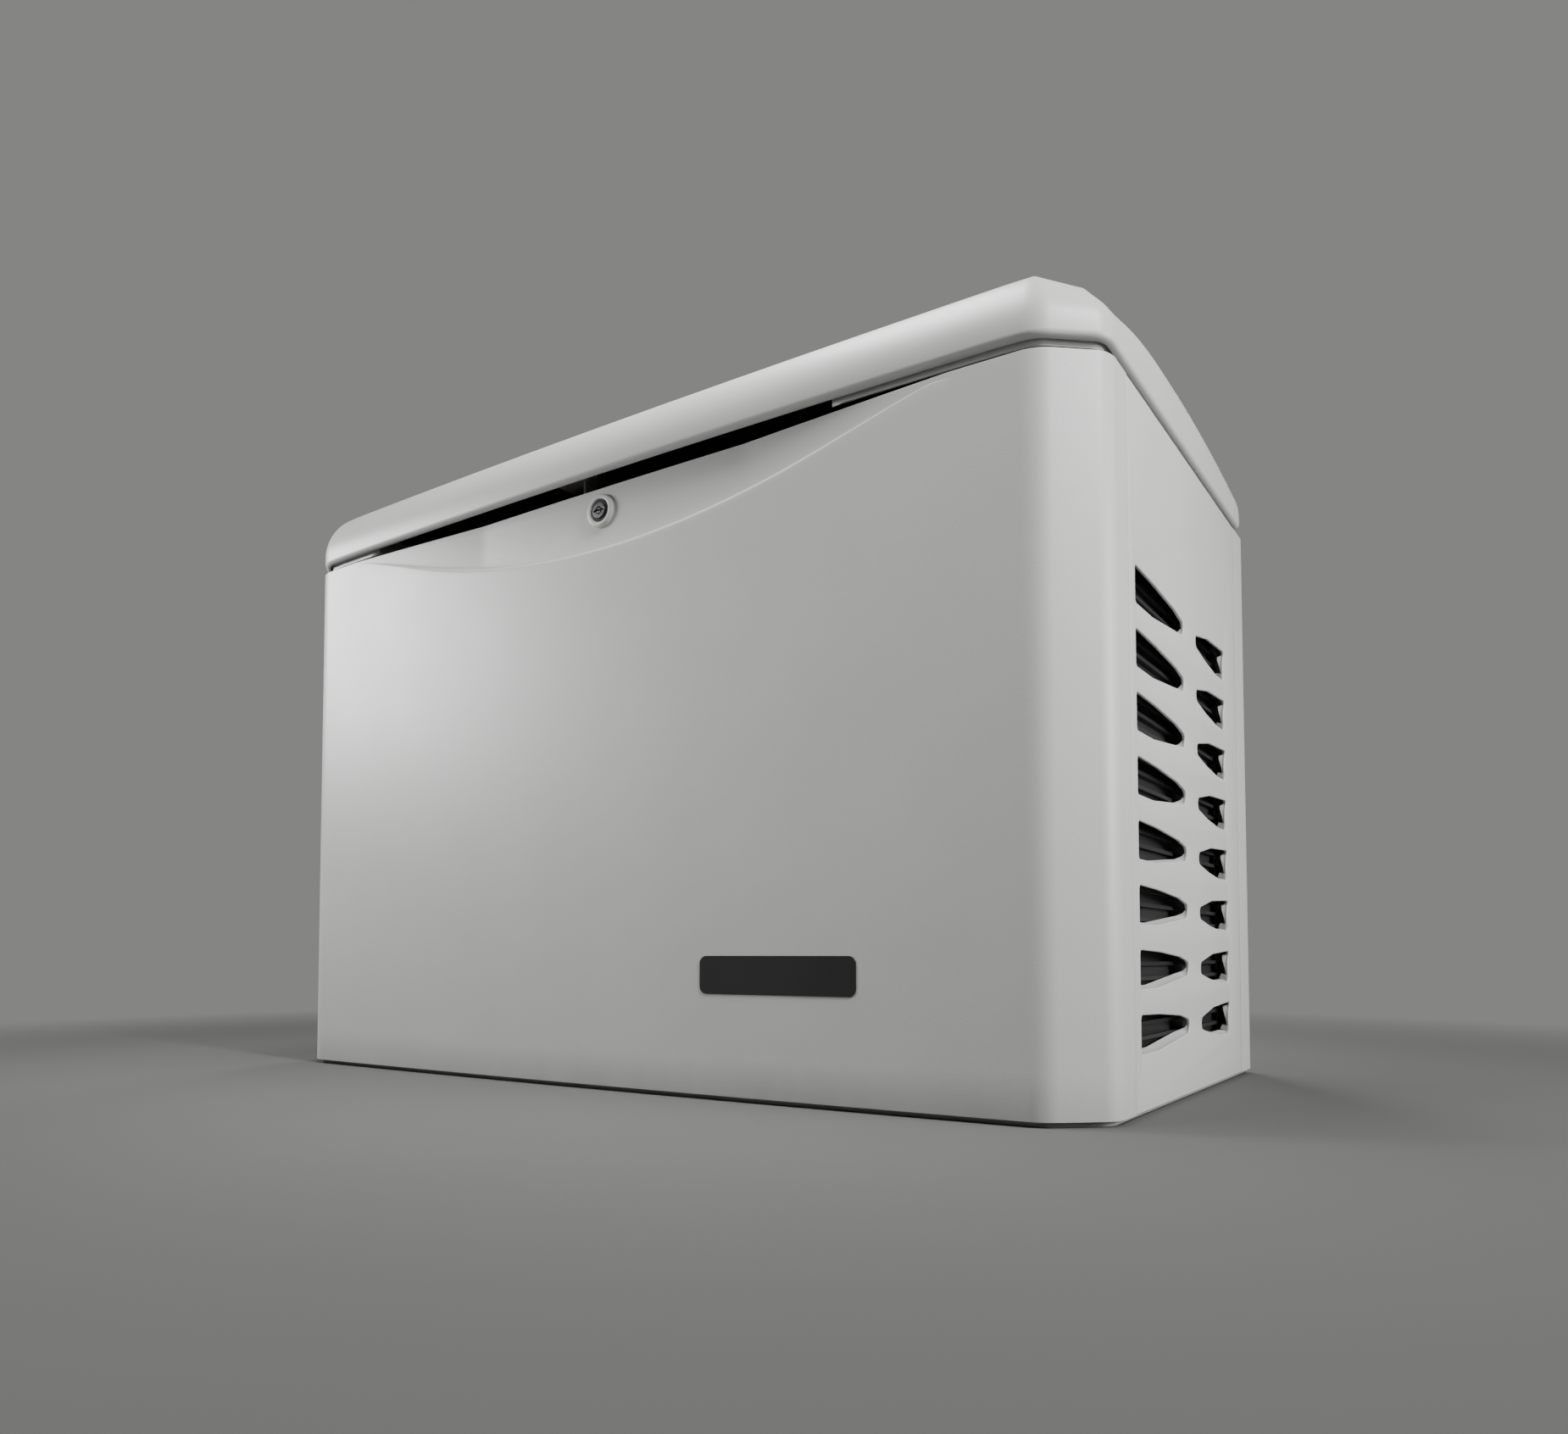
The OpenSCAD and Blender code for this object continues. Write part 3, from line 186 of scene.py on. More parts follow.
def metal(name, colour, roughness, stretch, relief, tint=0.12, **constants):
    """Worked metal whose tool marks run along the axis that stretch leaves long."""
    f = Finish(name, Metallic=1.0, **constants)
    marks = f.noise(0.0016, 4.0, 0.7, stretch)
    stain = f.noise(0.035, 4.0)
    f.feed("Base Color", f.mixed(stain, shade(colour, 1 - tint), shade(colour, 1 + tint)))
    f.feed("Roughness", roughness + (marks - 0.5) * 0.2 + (stain - 0.5) * 0.22)
    f.bump(marks, relief)
    return f.material


def cast(name, colour):
    """Sand-cast aluminium: pebbled, dull, darker in its blotches."""
    f = Finish(name, Metallic=0.85)
    sand, soot = f.noise(0.0011, 5.0, 0.7), f.noise(0.06, 4.0)
    f.feed("Base Color", f.mixed((soot * 1.6 - 0.3).clamped(), shade(colour, 0.66), colour))
    f.feed("Roughness", 0.46 + (sand - 0.5) * 0.3 + (soot - 0.5) * 0.2)
    f.bump(sand * 0.7 + f.cells(0.0021) * 0.4, 0.00035)
    return f.material


def zinc(name):
    """Zinc-plated sheet with a pale spangle and faint yellow passivation."""
    f = Finish(name, Metallic=1.0)
    spangle, film = f.cells(0.006), f.noise(0.05, 3.0)
    f.feed("Base Color", f.mixed(film, (0.50, 0.51, 0.53), (0.60, 0.58, 0.50)))
    f.feed("Roughness", 0.30 + spangle * 0.16 + (film - 0.5) * 0.14)
    f.bump(spangle + f.noise(0.0007) * 0.5, 0.00006)
    return f.material


def foam(name):
    """Open-cell sound foam with a dimpled scrim face."""
    f = Finish(name)
    cell, clump = f.cells(0.0028), f.noise(0.03, 4.0)
    f.feed("Base Color", f.mixed((cell * 1.8).clamped(), (0.006, 0.006, 0.007),
                                 (0.034, 0.034, 0.037)))
    f.feed("Roughness", 0.86 + (clump - 0.5) * 0.18)
    f.bump(cell + clump * 0.7, 0.0016)
    return f.material


def heat_tinted(name):
    """Exhaust steel that has run hot: straw, brown and blue bands under soot."""
    f = Finish(name, Metallic=1.0)
    heat = f.noise(0.09, 4.0, 0.6)
    f.feed("Base Color", f.node("ShaderNodeValToRGB", {"stops": [
        (0.25, (0.36, 0.36, 0.36)), (0.42, (0.42, 0.34, 0.22)),
        (0.55, (0.26, 0.16, 0.11)), (0.68, (0.17, 0.18, 0.24)), (0.8, (0.34, 0.33, 0.31))]},
        {"Fac": heat}, "Color"))
    brush = f.noise(0.0012, 4.0, 0.7, (1.0, 0.12, 1.0))
    f.feed("Roughness", 0.38 + (brush - 0.5) * 0.2 + (heat - 0.5) * 0.25)
    f.bump(brush, 0.0001)
    return f.material


PAINT = (0.56, 0.56, 0.55)
FINISHES = {
    "enclosure_plastic": moulded("enclosure_plastic", PAINT, 0.42, 0.00075, 0.00011, 0.025,
                                 Specular_IOR_Level=0.45, Coat_Weight=0.08, Coat_Roughness=0.3),
    "base_paint": moulded("base_powder_coat", (0.42, 0.42, 0.415), 0.5, 0.0009, 0.00012),
    "baffle_plastic": moulded("baffle_plastic", (0.010, 0.010, 0.010), 0.6, 0.001, 0.0001),
    "badge": moulded("badge_anodised", (0.045, 0.045, 0.047), 0.36, 0.0005, 0.00003,
                     Metallic=0.55, Coat_Weight=0.3, Coat_Roughness=0.2),
    "foam": foam("roof_foam"),
    "rubber": moulded("seal_rubber", (0.012, 0.012, 0.012), 0.72, 0.0012, 0.0001),
    "zinc_steel": zinc("zinc_steel"),
    "strut_paint": moulded("strut_paint", (0.012, 0.012, 0.012), 0.3, 0.0018, 0.00003,
                           Coat_Weight=0.4),
    "polished_rod": metal("polished_rod", (0.72, 0.73, 0.75), 0.12, (1.0, 1.0, 0.1), 0.00001),
    "lock_black": moulded("lock_black", (0.022, 0.022, 0.022), 0.3, 0.0008, 0.00002),
    "lock_face": metal("lock_face", (0.16, 0.16, 0.165), 0.34, (0.2, 1.0, 1.0), 0.00002),
    "black_paint": moulded("black_paint", (0.014, 0.014, 0.014), 0.34, 0.0016, 0.00005,
                           Coat_Weight=0.35, Coat_Roughness=0.15),
    "cast_aluminium": cast("cast_aluminium", (0.56, 0.57, 0.58)),
    "shroud_plastic": moulded("shroud_plastic", (0.016, 0.016, 0.017), 0.5, 0.0009, 0.0001),
    "forged_steel": metal("turned_steel", (0.46, 0.46, 0.47), 0.28, (1.0, 0.1, 0.1), 0.00004),
    "pipe_steel": moulded("gas_pipe_paint", (0.10, 0.10, 0.105), 0.42, 0.0012, 0.00008,
                          Metallic=0.3),
    "handle_red": moulded("handle_red", (0.46, 0.018, 0.012), 0.34, 0.0014, 0.00005,
                          Coat_Weight=0.4),
    "filter_paint": moulded("filter_paint", (0.50, 0.51, 0.54), 0.26, 0.0016, 0.00003,
                            Coat_Weight=0.5),
    "cap_yellow": moulded("cap_yellow", (0.62, 0.33, 0.012), 0.34, 0.001, 0.00005),
    "plug_rubber": moulded("plug_rubber", (0.014, 0.014, 0.014), 0.6, 0.001, 0.0001),
    "exhaust_steel": heat_tinted("exhaust_steel"),
    "battery_case": moulded("battery_case", (0.018, 0.018, 0.019), 0.44, 0.0008, 0.0001),
    "cable_rubber": moulded("cable_rubber", (0.34, 0.014, 0.012), 0.48, 0.0012, 0.00005),
    "control_plastic": moulded("control_plastic", (0.022, 0.022, 0.023), 0.38, 0.0008, 0.00006),
    "button_red": moulded("button_red", (0.46, 0.02, 0.014), 0.28, 0.001, 0.00002),
    "button_green": moulded("button_green", (0.02, 0.22, 0.05), 0.28, 0.001, 0.00002),
    "button_blue": moulded("button_blue", (0.02, 0.07, 0.36), 0.28, 0.001, 0.00002),
}

MERGE = 2e-6
EASED_ANGLE = math.radians(32)

node_slot = {part["node"]: part["material_slot"] for part in frame["record"]["subparts"]}

# ---- building helpers ----


def made_from(bm, name, body, slot, *stands_for, smooth=35.0):
    """Turns a bmesh into a finished piece that rides on a body."""
    bmesh.ops.recalc_face_normals(bm, faces=bm.faces)
    mesh = bpy.data.meshes.new(name)
    bm.to_mesh(mesh)
    bm.free()
    mesh.materials.append(FINISHES[slot])
    for face in mesh.polygons:
        face.use_smooth = True
    mesh.set_sharp_from_angle(angle=math.radians(smooth))
    piece = bpy.data.objects.new(name, mesh)
    bpy.context.scene.collection.objects.link(piece)
    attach(piece, body)
    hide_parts(*stands_for)
    return piece


def thickened(piece, thickness, rolled):
    """Gives a skin its wall, and rolls the edges of the wall over."""
    wall = piece.modifiers.new("wall", "SOLIDIFY")
    wall.thickness, wall.offset, wall.use_even_offset = thickness, -1.0, False
    edge = piece.modifiers.new("edge", "BEVEL")
    edge.width, edge.segments, edge.limit_method = rolled, 3, "ANGLE"
    edge.angle_limit = math.radians(60)
    return piece


def woven(columns, rows, point):
    """Sheet whose vertex at each column and row is moved to point(column, row)."""
    bm = bmesh.new()
    bmesh.ops.create_grid(bm, x_segments=columns - 1, y_segments=rows - 1, size=1.0)
    for v in bm.verts:
        i = round((v.co.x + 1) / 2 * (columns - 1))
        j = round((v.co.y + 1) / 2 * (rows - 1))
        v.co = point(i, j)
    return bm


def corner(before, at, after, radius, steps):
    """Arc that rounds the corner at between two neighbours, as a list of points."""
    before, at, after = Vector(before), Vector(at), Vector(after)
    u, v = (before - at).normalized(), (after - at).normalized()
    half = u.angle(v) / 2
    centre = at + (u + v).normalized() * radius / math.sin(half)
    tangent = radius / math.tan(half)
    start, end = at + u * tangent - centre, at + v * tangent - centre
    first = math.atan2(start.y, start.x)
    turn = (math.atan2(end.y, end.x) - first + 3 * math.pi) % (2 * math.pi) - math.pi
    return [centre + radius * Vector((math.cos(first + turn * i / steps),
                                      math.sin(first + turn * i / steps)))
            for i in range(steps + 1)]


def rounded(corners, steps=6):
    """Closed outline through (x, y, radius) corners."""
    count = len(corners)
    return [p for i, c in enumerate(corners)
            for p in corner(corners[i - 1][:2], c[:2], corners[(i + 1) % count][:2], c[2], steps)]


def plate(outlines, thickness, roll):
    """Mesh of a flat plate with holes, centred on Z = 0, every edge rolled."""
    curve = bpy.data.curves.new("plate", "CURVE")
    curve.dimensions, curve.fill_mode = "2D", "BOTH"
    curve.extrude, curve.bevel_depth, curve.bevel_resolution = thickness / 2 - roll, roll, 3
    curve.offset = -roll
    for outline in [outlines[0]] + [list(reversed(hole)) for hole in outlines[1:]]:
        spline = curve.splines.new("POLY")
        spline.points.add(len(outline) - 1)
        spline.use_cyclic_u = True
        for point, at in zip(spline.points, outline):
            point.co = (at[0], at[1], 0.0, 1.0)
    cutter = bpy.data.objects.new("plate", curve)
    bpy.context.scene.collection.objects.link(cutter)
    bpy.context.view_layer.update()
    mesh = bpy.data.meshes.new_from_object(
        cutter.evaluated_get(bpy.context.evaluated_depsgraph_get()))
    bpy.data.objects.remove(cutter)
    bm = bmesh.new()
    bm.from_mesh(mesh)
    bpy.data.meshes.remove(mesh)
    bmesh.ops.remove_doubles(bm, verts=bm.verts, dist=1e-6)
    return bm


def eased_copy(node, width):
    """Copy of a CAD node with its sharp edges eased, or None if it doesn't come out whole."""
    source = frame["nodes"][node]
    bm = bmesh.new()
    bm.from_mesh(source.data)
    bmesh.ops.remove_doubles(bm, verts=bm.verts, dist=MERGE)
    bmesh.ops.dissolve_degenerate(bm, edges=bm.edges, dist=1e-6)
    if any(not e.is_manifold for e in bm.edges):
        bm.free()
        return None
    volume = bm.calc_volume()
    low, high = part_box(node)
    bmesh.ops.dissolve_limit(bm, angle_limit=math.radians(0.15), verts=bm.verts, edges=bm.edges)
    sharp = [e for e in bm.edges if e.is_manifold and e.calc_face_angle(0) > EASED_ANGLE]
    bmesh.ops.bevel(bm, geom=sharp, offset=width, offset_type="OFFSET", segments=2, profile=0.5,
                    affect="EDGES", clamp_overlap=True, material=-1)
    bmesh.ops.triangulate(bm, faces=[f for f in bm.faces if len(f.verts) > 4])
    lowest, highest = [Vector(map(end, *[v.co for v in bm.verts])) for end in (min, max)]
    whole = (abs(bm.calc_volume() / volume - 1) < 0.06 and len(bm.faces) < 90000
             and (lowest - low).length < 2 * MM and (highest - high).length < 2 * MM)
    if not whole:
        bm.free()
        return None
    piece = made_from(bm, node + "_eased", source["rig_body"], node_slot[node], node)
    even = piece.modifiers.new("even", "WEIGHTED_NORMAL")
    even.mode, even.weight, even.keep_sharp = "FACE_AREA", 100, True
    return piece


# ---- enclosure ----

lid_low, lid_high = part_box("lid_shell")
side_low, side_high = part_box("left_panel")
half_length = lid_high.x
half_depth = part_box("rear_panel")[1].y
panel_top, panel_bottom = side_high.z, side_low.z
lid_bottom = lid_low.z
seam_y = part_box("front_panel")[1].y
wall = 3 * MM
bow = 10.4 * MM
chamfer_long, chamfer_deep = 55.3 * MM, 47.9 * MM
chamfer_radius, shoulder_radius = 45 * MM, 32 * MM
chamfer = Vector((half_length - chamfer_long, -half_depth + bow))
shoulder = Vector((half_length, chamfer.y + chamfer_deep))


def front_y(x):
    """Front face's place across the depth: it bows forward in the middle."""
    return -half_depth + bow * (x / chamfer.x) ** 2


bow_end = Vector((0.5, front_y(0.5)))
front_arc = corner(bow_end, chamfer, shoulder, chamfer_radius, 14)
side_arc = corner(chamfer, shoulder, shoulder + Vector((0, 0.1)), shoulder_radius, 12)
right_front = [Vector((x * 8 * MM, front_y(x * 8 * MM))) for x in range(62)]
right_front += front_arc + side_arc
right_front += [Vector((half_length, side_arc[-1].y + (seam_y - side_arc[-1].y) * k / 4))
                for k in range(1, 5)]
front_line = [Vector((-p.x, p.y)) for p in reversed(right_front[1:])] + right_front

scoop_half, scoop_low, scoop_depth = 0.472, 0.638, 17.5 * MM


def scoop_rim(x):
    """Height of the scoop's lower rim, lowest in the middle."""
    t = min(abs(x) / scoop_half, 1.0) ** 2
    return scoop_low + (panel_top - scoop_low) * t * (1.2 + 0.15 * t - 0.35 * t * t)


def scoop_profile(x):
    """(depth behind the front face, height) of the skin from the bottom edge to the top one."""
    depth = scoop_depth * max(0.0, min(1.0, (scoop_half - 0.012 - abs(x)) / 0.25))
    rim = min(scoop_rim(x), panel_top - 6 * MM)
    roll = min(6.5 * MM, depth * 0.5)
    hollow = min(7 * MM, depth * 0.45, (panel_top - rim) * 0.6)
    points = [(0.0, panel_bottom + (rim - 0.012 - panel_bottom) * k / 16) for k in range(17)]
    points += [(roll * (1 - math.cos(a)), rim - roll + roll * math.sin(a))
               for a in [math.pi / 2 * k / 8 for k in range(9)]]
    points += [(depth - hollow + hollow * math.sin(a), rim + hollow * (1 - math.cos(a)))
               for a in [math.pi / 2 * k / 6 for k in range(7)]]
    top = points[-1][1]
    return points + [(depth, top + (panel_top - top) * k / 5) for k in range(1, 6)]


front_profiles = [scoop_profile(p.x) for p in front_line]


def front_point(i, j):
    """Skin point at column i of the front line and step j of its profile."""
    depth, z = front_profiles[i][j]
    return front_line[i].x, front_line[i].y + depth, z


front_cover = made_from(woven(len(front_line), len(front_profiles[0]), front_point),
                        "front_cover_skin", "front_cover", "enclosure_plastic", "front_panel",
                        smooth=50)
thickened(front_cover, wall, 1.4 * MM)

bezel_low, bezel_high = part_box("lock_bezel")
lock_centre = Vector((0, 0, (bezel_low.z + bezel_high.z) / 2))


def turned(profile, centre, steps=64):
    """Solid of revolution of (radius, distance along Y) points."""
    bm = bmesh.new()
    verts = [bm.verts.new((r, 0, h)) for r, h in profile]
    for a, b in zip(verts, verts[1:]):
        bm.edges.new((a, b))
    bmesh.ops.spin(bm, geom=bm.verts[:] + bm.edges[:], axis=(0, 0, 1), cent=(0, 0, 0),
                   angle=2 * math.pi, steps=steps, use_merge=True, use_duplicate=False)
    bmesh.ops.remove_doubles(bm, verts=bm.verts, dist=1e-6)
    turn = Matrix.Rotation(-math.pi / 2, 4, "X")
    bmesh.ops.transform(bm, matrix=Matrix.Translation(centre) @ turn, verts=bm.verts)
    return bm


ring_back, ring_front = -298 * MM, -304.5 * MM
ring_inner, ring_outer = 13.8 * MM, 20.5 * MM
inner_roll, outer_roll = 1.6 * MM, 3.3 * MM
ring_profile = [(ring_inner, ring_back), (ring_inner, ring_front + inner_roll)]
ring_profile += [(ring_inner + inner_roll * (1 - math.cos(a)),
                  ring_front + inner_roll * (1 - math.sin(a)))
                 for a in [math.pi / 2 * k / 5 for k in range(1, 6)]]
ring_profile += [(ring_outer - outer_roll * (1 - math.sin(a)),
                  ring_front + outer_roll * (1 - math.cos(a)))
                 for a in [math.pi / 2 * k / 7 for k in range(8)]]
ring_profile += [(ring_outer, ring_back), (ring_inner, ring_back)]
made_from(turned(ring_profile, lock_centre), "lock_ring", "front_cover", "enclosure_plastic")

# louvred sides: leaf-shaped openings in rows, straight-backed in front and hollowed behind
louvre_pitch, louvre_top = 62.7 * MM, 537 * MM
front_leaf = rounded([(-190, -37.5, 4), (-130, -37.5, 60), (-7, -27, 7), (-4, -13, 7),
                      (-40, -7, 60), (-120, -2, 200), (-190, 0, 5)])
rear_leaf = rounded([(50, -26, 6), (95, -33, 60), (150, -38, 60), (191, -38, 4), (183, -22, 30),
                     (197, 0, 4), (110, -4, 80), (48, -14, 7)])
openings = [[Vector((p.x * MM, louvre_top - row * louvre_pitch + p.y * MM)) for p in leaf]
            for row in range(8) for leaf in (front_leaf, rear_leaf)]
REAR_SEAM = 258.5 * MM
side_front, side_back = seam_y + 1 * MM, REAR_SEAM - 1 * MM
side_outline = [(side_front, panel_bottom), (side_back, panel_bottom),
                (side_back, panel_top), (side_front, panel_top)]


def louvre_lips(side):
    """Walls that turn inwards from every opening, leaning up at its lower edge."""
    bm = bmesh.new()
    for outline in openings:
        rings = []
        for depth, lift in ((1.6, 0.0), (4, 0.3), (8, 1.2), (13, 3.0)):
            ring = []
            neighbours = zip(outline[-1:] + outline, outline, outline[1:] + outline[:1])
            for before, at, after in neighbours:
                out = Vector((after.y - before.y, before.x - after.x)).normalized()
                low = max(0.0, -out.y)
                reach = 1.6 + (depth - 1.6) * (0.14 + 0.86 * low)
                ring.append(bm.verts.new((side * (half_length - reach * MM),
                                          at.x + out.x * 0.5 * MM,
                                          at.y + (out.y * 0.5 + low * lift) * MM)))
            rings.append([bm.edges.new((a, b)) for a, b in zip(ring, ring[1:] + ring[:1])])
        for a, b in zip(rings, rings[1:]):
            bmesh.ops.bridge_loops(bm, edges=a + b)
    bmesh.ops.recalc_face_normals(bm, faces=bm.faces)
    bmesh.ops.solidify(bm, geom=bm.faces[:], thickness=-0.9 * MM)
    # laps behind the seams to the front cover and the rear panel
    for y in (side_front, side_back):
        lap = bmesh.ops.create_cube(bm, size=1.0)["verts"]
        bmesh.ops.scale(bm, verts=lap, vec=(2 * MM, 24 * MM, panel_top - panel_bottom - 24 * MM))
        bmesh.ops.translate(bm, verts=lap, vec=(side * (half_length - wall - 1.2 * MM), y,
                                                (panel_top + panel_bottom) / 2))
    return bm


for name, side in (("left", -1), ("right", 1)):
    bm = plate([side_outline] + openings, wall, 1.2 * MM)
    for v in bm.verts:
        v.co = (side * (half_length - wall / 2 + v.co.z), v.co.x, v.co.y)
    made_from(bm, name + "_louvred_side", "enclosure", "enclosure_plastic", name + "_panel",
              smooth=40)
    made_from(louvre_lips(side), name + "_louvre_lips", "enclosure", "enclosure_plastic")

# ---- lid ----

roof_spring, roof_fall, roof_radius, rear_edge = 0.7622, 0.013, 0.065, 0.020
lid_back = lid_high.y
lower_roll, rear_radius = 6.6 * MM, 9 * MM


def roof_line(y):
    """Height where the roof's rolled edge starts, falling away to the front and back."""
    return roof_spring - roof_fall * (y / 0.26) ** 2


def lid_outline(d, e):
    """Lid outline moved in by d at the front and sides and by e at the back, anticlockwise."""
    d_vector = Vector((0, d))
    a, c_up = bow_end + d_vector, shoulder + Vector((-d, 0.2))
    facing = (shoulder - chamfer).normalized()
    inward = Vector((-facing.y, facing.x)) * d
    slope = (chamfer - bow_end).normalized()
    start = chamfer + inward
    b = start + facing * ((chamfer.y + d - start.y) / facing.y)
    b = Vector((b.x, chamfer.y + d + slope.y * (b.x - chamfer.x) / slope.x))
    c = start + facing * ((half_length - d - start.x) / facing.x)
    first = corner(a, b, c, max(chamfer_radius - d, 2 * MM), 12)
    second = corner(b, c, c + Vector((0, 0.1)), max(shoulder_radius - d, 2 * MM), 10)
    radius = max(rear_radius - d, 2 * MM)
    back = lid_back - e
    low = second[-1].y
    right = [Vector((x * 0.02 * (first[0].x / 0.5), front_y(x * 0.02) + d)) for x in range(25)]
    right += first + second
    right += [Vector((half_length - d, low + (back - radius - low) * k / 24))
              for k in range(1, 24)]
    right += [Vector((half_length - d - radius + radius * math.cos(t),
                      back - radius + radius * math.sin(t)))
              for t in [math.pi / 2 * k / 6 for k in range(7)]]
    right += [Vector((0.0, back))]
    return right


lid_rings = []
for k in range(8):
    a = math.pi / 2 * k / 7
    inset = lower_roll * (1 - math.sin(a))
    lid_rings.append([(p.x, p.y, lid_bottom + lower_roll * (1 - math.cos(a)))
                      for p in lid_outline(inset, inset)])
for k in range(19):
    a = math.pi / 2 * k / 18
    rise = roof_radius * math.sin(a)
    over = max(0.0, rise - roof_radius + rear_edge)
    ring = lid_outline(roof_radius * (1 - math.cos(a)),
                       rear_edge - math.sqrt(max(0.0, rear_edge ** 2 - over ** 2)))
    lid_rings.append([(p.x, p.y, roof_line(p.y) + rise) for p in ring])
half_count = len(lid_rings[0])
top_ring = lid_rings[-1]
widest_ring = lid_rings[8]

ACROSS = 12
CORNER_DIP, DIP_FADE = 17 * MM, 90 * MM


def softened(x, y, z, at_y, share):
    """Lowers the roof over the two front corners, most where the chamfer meets the side."""
    away = max(0.0, at_y - shoulder.y) / DIP_FADE
    height = max(0.0, min(1.0, (z - lid_bottom - 8 * MM) / (60 * MM)))
    return x, y, z - CORNER_DIP * height * share * math.exp(-away * away)


def lid_point(i, j):
    """Up the right wall and roof edge, then across the roof to the ridge line."""
    at_x, at_y, _ = widest_ring[i]
    share = max(0.0, min(1.0, (at_x - chamfer.x) / (half_length - chamfer.x))) ** 2
    if j < len(lid_rings):
        return softened(*lid_rings[j][i], at_y, share)
    x, y, z = top_ring[i]
    left = 1 - (j - len(lid_rings) + 1) / ACROSS
    return softened(x * left, y, z, at_y, share * left ** 4)


bm = woven(half_count, len(lid_rings) + ACROSS, lid_point)
bmesh.ops.mirror(bm, geom=bm.verts[:] + bm.edges[:] + bm.faces[:], axis="X", merge_dist=1e-5)
bmesh.ops.remove_doubles(bm, verts=bm.verts, dist=2e-6)
bmesh.ops.dissolve_degenerate(bm, edges=bm.edges, dist=1e-6)
lid = made_from(bm, "lid_cover", "lid", "enclosure_plastic", "lid_shell", smooth=60)
thickened(lid, 3.2 * MM, 0.8 * MM)

# rim that hangs inside the lid's skirt, broken in front by the finger slot
rim_back, rim_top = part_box("lid_rim")[1].y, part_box("lid_rim")[1].z
rim_inset, rim_wall, rim_bottom = 11.5 * MM, 1.4 * MM, 725 * MM
slot_left, slot_right = -425 * MM, 325 * MM
rim_line = lid_outline(rim_inset, rim_inset)
rim_drop = [rim_top - 1 * MM, 735 * MM, 730 * MM, 727 * MM, 725.6 * MM, rim_bottom]
turn_steps, turn_step, turn_share = 3, 0.9 * MM, 0.0022


def rim_sheet(side, slot_end):
    """Half of the rim: straight down, then turned inwards along its bottom."""
    run = [Vector((side * slot_end, front_y(slot_end) + rim_inset))]
    run += [Vector((side * p.x, p.y)) for p in rim_line
            if p.x > slot_end and (p.x < 0.5 or p.y < rim_back)]

    def point(i, j):
        x, y = run[i]
        if j < len(rim_drop):
            return x, y, rim_drop[j]
        step = j - len(rim_drop) + 1
        facing_front = y < 0 and abs(x) < 0.56
        return (x * (1 - turn_share * step), y + turn_step * step * (1 if facing_front else 0.2),
                rim_bottom + (step - 1) * turn_step)

    return woven(len(run), len(rim_drop) + turn_steps, point)


for name, side, slot_end in (("left", -1, -slot_left), ("right", 1, slot_right)):
    rim = made_from(rim_sheet(side, slot_end), "lid_inner_rim_" + name, "lid",
                    "enclosure_plastic", *(["lid_rim"] if side == 1 else []), smooth=50)
    rim_thickness = rim.modifiers.new("wall", "SOLIDIFY")
    rim_thickness.thickness, rim_thickness.offset = rim_wall, 0.0

# ---- every other CAD part keeps its shape and gets its finish, with its edges eased ----

shown_as_new = {"front_panel", "left_panel", "right_panel", "lid_shell", "lid_rim"}
EASED = {"base_tray": 1.0, "rear_panel": 0.8}
for node, source in frame["nodes"].items():
    source.data.materials.clear()
    source.data.materials.append(FINISHES[node_slot[node]])
    if node not in shown_as_new:
        eased_copy(node, EASED.get(node, 0.5) * MM) or print("kept plain", node)

# ---- floor and light ----

BACKDROP = (0.238, 0.238, 0.232)
AMBIENT = 0.03
FLOOR_DARK, FLOOR_PALE = (0.118, 0.118, 0.115), (0.128, 0.128, 0.125)
floor_finish = Finish("floor_paper", Roughness=0.9, Specular_IOR_Level=0.1)
floor_finish.feed("Base Color",
                  floor_finish.mixed(floor_finish.noise(0.4), FLOOR_DARK, FLOOR_PALE))
# far from the object the floor glows in the backdrop's own tone, so that no horizon shows
glow = floor_finish.node("ShaderNodeEmission", {}, {"Color": (*BACKDROP, 1.0)}, "Emission")
distance = floor_finish.node("ShaderNodeVectorMath", {"operation": "LENGTH"},
                             {0: floor_finish.place}, "Value")
blend = floor_finish.node("ShaderNodeMixShader", {}, {
    0: ((distance - 0.75) / 1.25).clamped() ** 0.8,
    1: Wire(floor_finish, floor_finish.shader.outputs[0]), 2: glow}, "Shader")
floor_finish.tree.links.new(blend.socket, next(
    n for n in floor_finish.tree.nodes if n.type == "OUTPUT_MATERIAL").inputs["Surface"])
floor = bmesh.new()
bmesh.ops.create_circle(floor, cap_ends=True, cap_tris=True, segments=96, radius=60.0)
floor_mesh = bpy.data.meshes.new("floor")
floor.to_mesh(floor_mesh)
floor.free()
floor_piece = bpy.data.objects.new("floor", floor_mesh)
floor_mesh.materials.append(floor_finish.material)
bpy.context.scene.collection.objects.link(floor_piece)

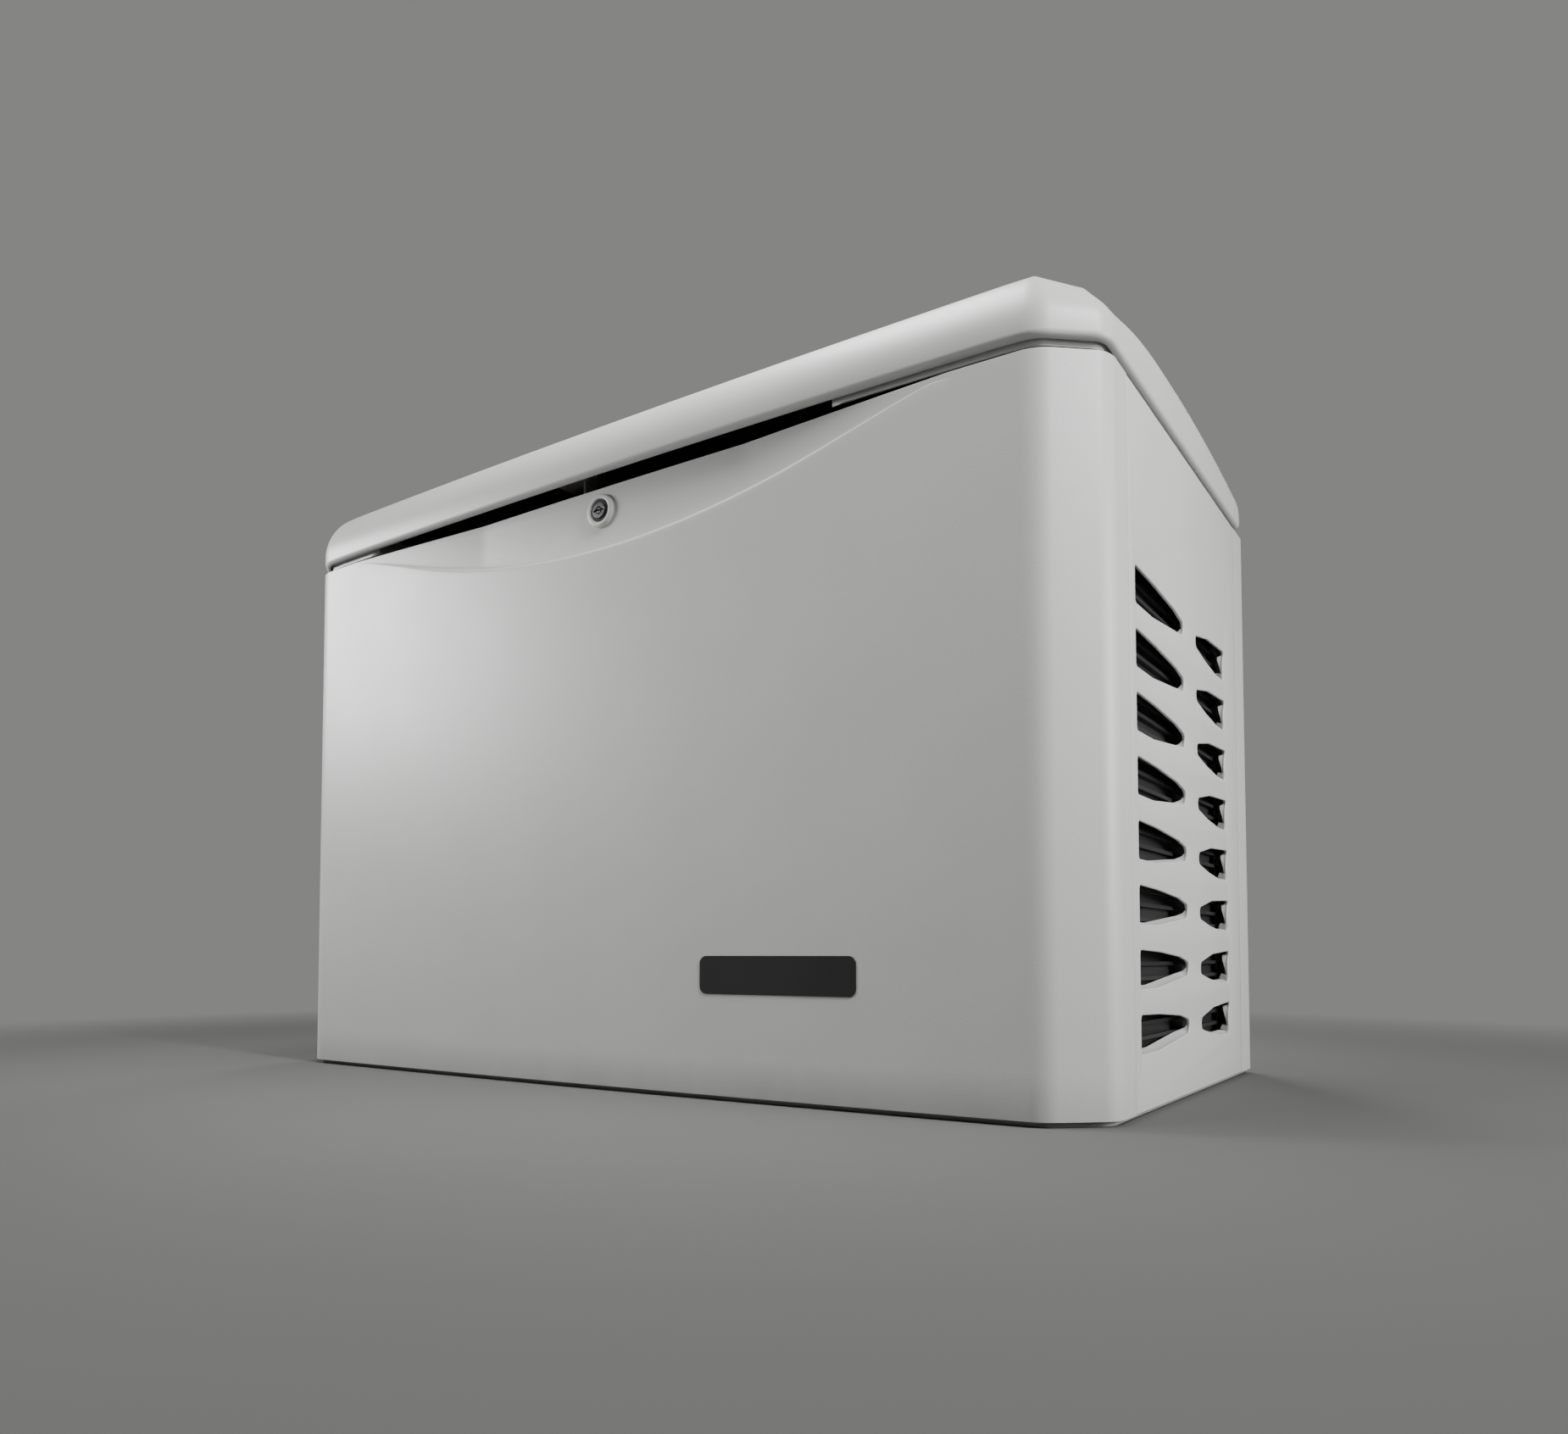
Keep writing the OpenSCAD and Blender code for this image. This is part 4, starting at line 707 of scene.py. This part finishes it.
world = bpy.data.worlds.new("studio")
bpy.context.scene.world = world
world.use_nodes = True
world.node_tree.nodes["Background"].inputs["Color"].default_value = (*(AMBIENT,) * 3, 1.0)

# plain backdrop all round, seen but casting no light of its own
backdrop_finish = bpy.data.materials.new("backdrop")
backdrop_finish.use_nodes = True
backdrop_finish.node_tree.nodes.clear()
tone = backdrop_finish.node_tree.nodes.new("ShaderNodeEmission")
tone.inputs["Color"].default_value = (*BACKDROP, 1.0)
backdrop_finish.node_tree.links.new(
    tone.outputs[0],
    backdrop_finish.node_tree.nodes.new("ShaderNodeOutputMaterial").inputs["Surface"])
dome = bmesh.new()
bmesh.ops.create_icosphere(dome, subdivisions=3, radius=55.0)
dome_mesh = bpy.data.meshes.new("backdrop")
dome.to_mesh(dome_mesh)
dome.free()
dome_mesh.materials.append(backdrop_finish)
backdrop = bpy.data.objects.new("backdrop", dome_mesh)
bpy.context.scene.collection.objects.link(backdrop)
backdrop.visible_diffuse = backdrop.visible_glossy = False
backdrop.visible_transmission = backdrop.visible_shadow = False


def softbox(name, place, aim, width, height, power, spread):
    """Rectangular light at place, turned to aim."""
    light = bpy.data.objects.new(name, bpy.data.lights.new(name, "AREA"))
    light.data.shape, light.data.size, light.data.size_y = "RECTANGLE", width, height
    light.data.energy, light.data.spread = power, math.radians(spread)
    light.location = place
    light.rotation_euler = (Vector(aim) - Vector(place)).to_track_quat("-Z", "Y").to_euler()
    bpy.context.scene.collection.objects.link(light)


softbox("key", (-1.75, -1.05, 1.05), (-0.5, -0.3, 0.5), 0.6, 0.6, 9, 80)
softbox("corner", (2.1, -0.72, 1.9), (0.57, -0.28, 0.72), 0.25, 0.9, 11, 70)
softbox("side", (2.6, 0.25, 0.8), (0.6, 0.0, 0.3), 0.7, 0.8, 5, 60)
softbox("overhead", (-0.1, 0.05, 2.0), (0, 0.08, 0.75), 2.2, 0.5, 15, 75)
softbox("behind", (-1.2, 2.4, 1.5), (0.0, 0.3, 0.4), 1.2, 0.9, 10, 70)
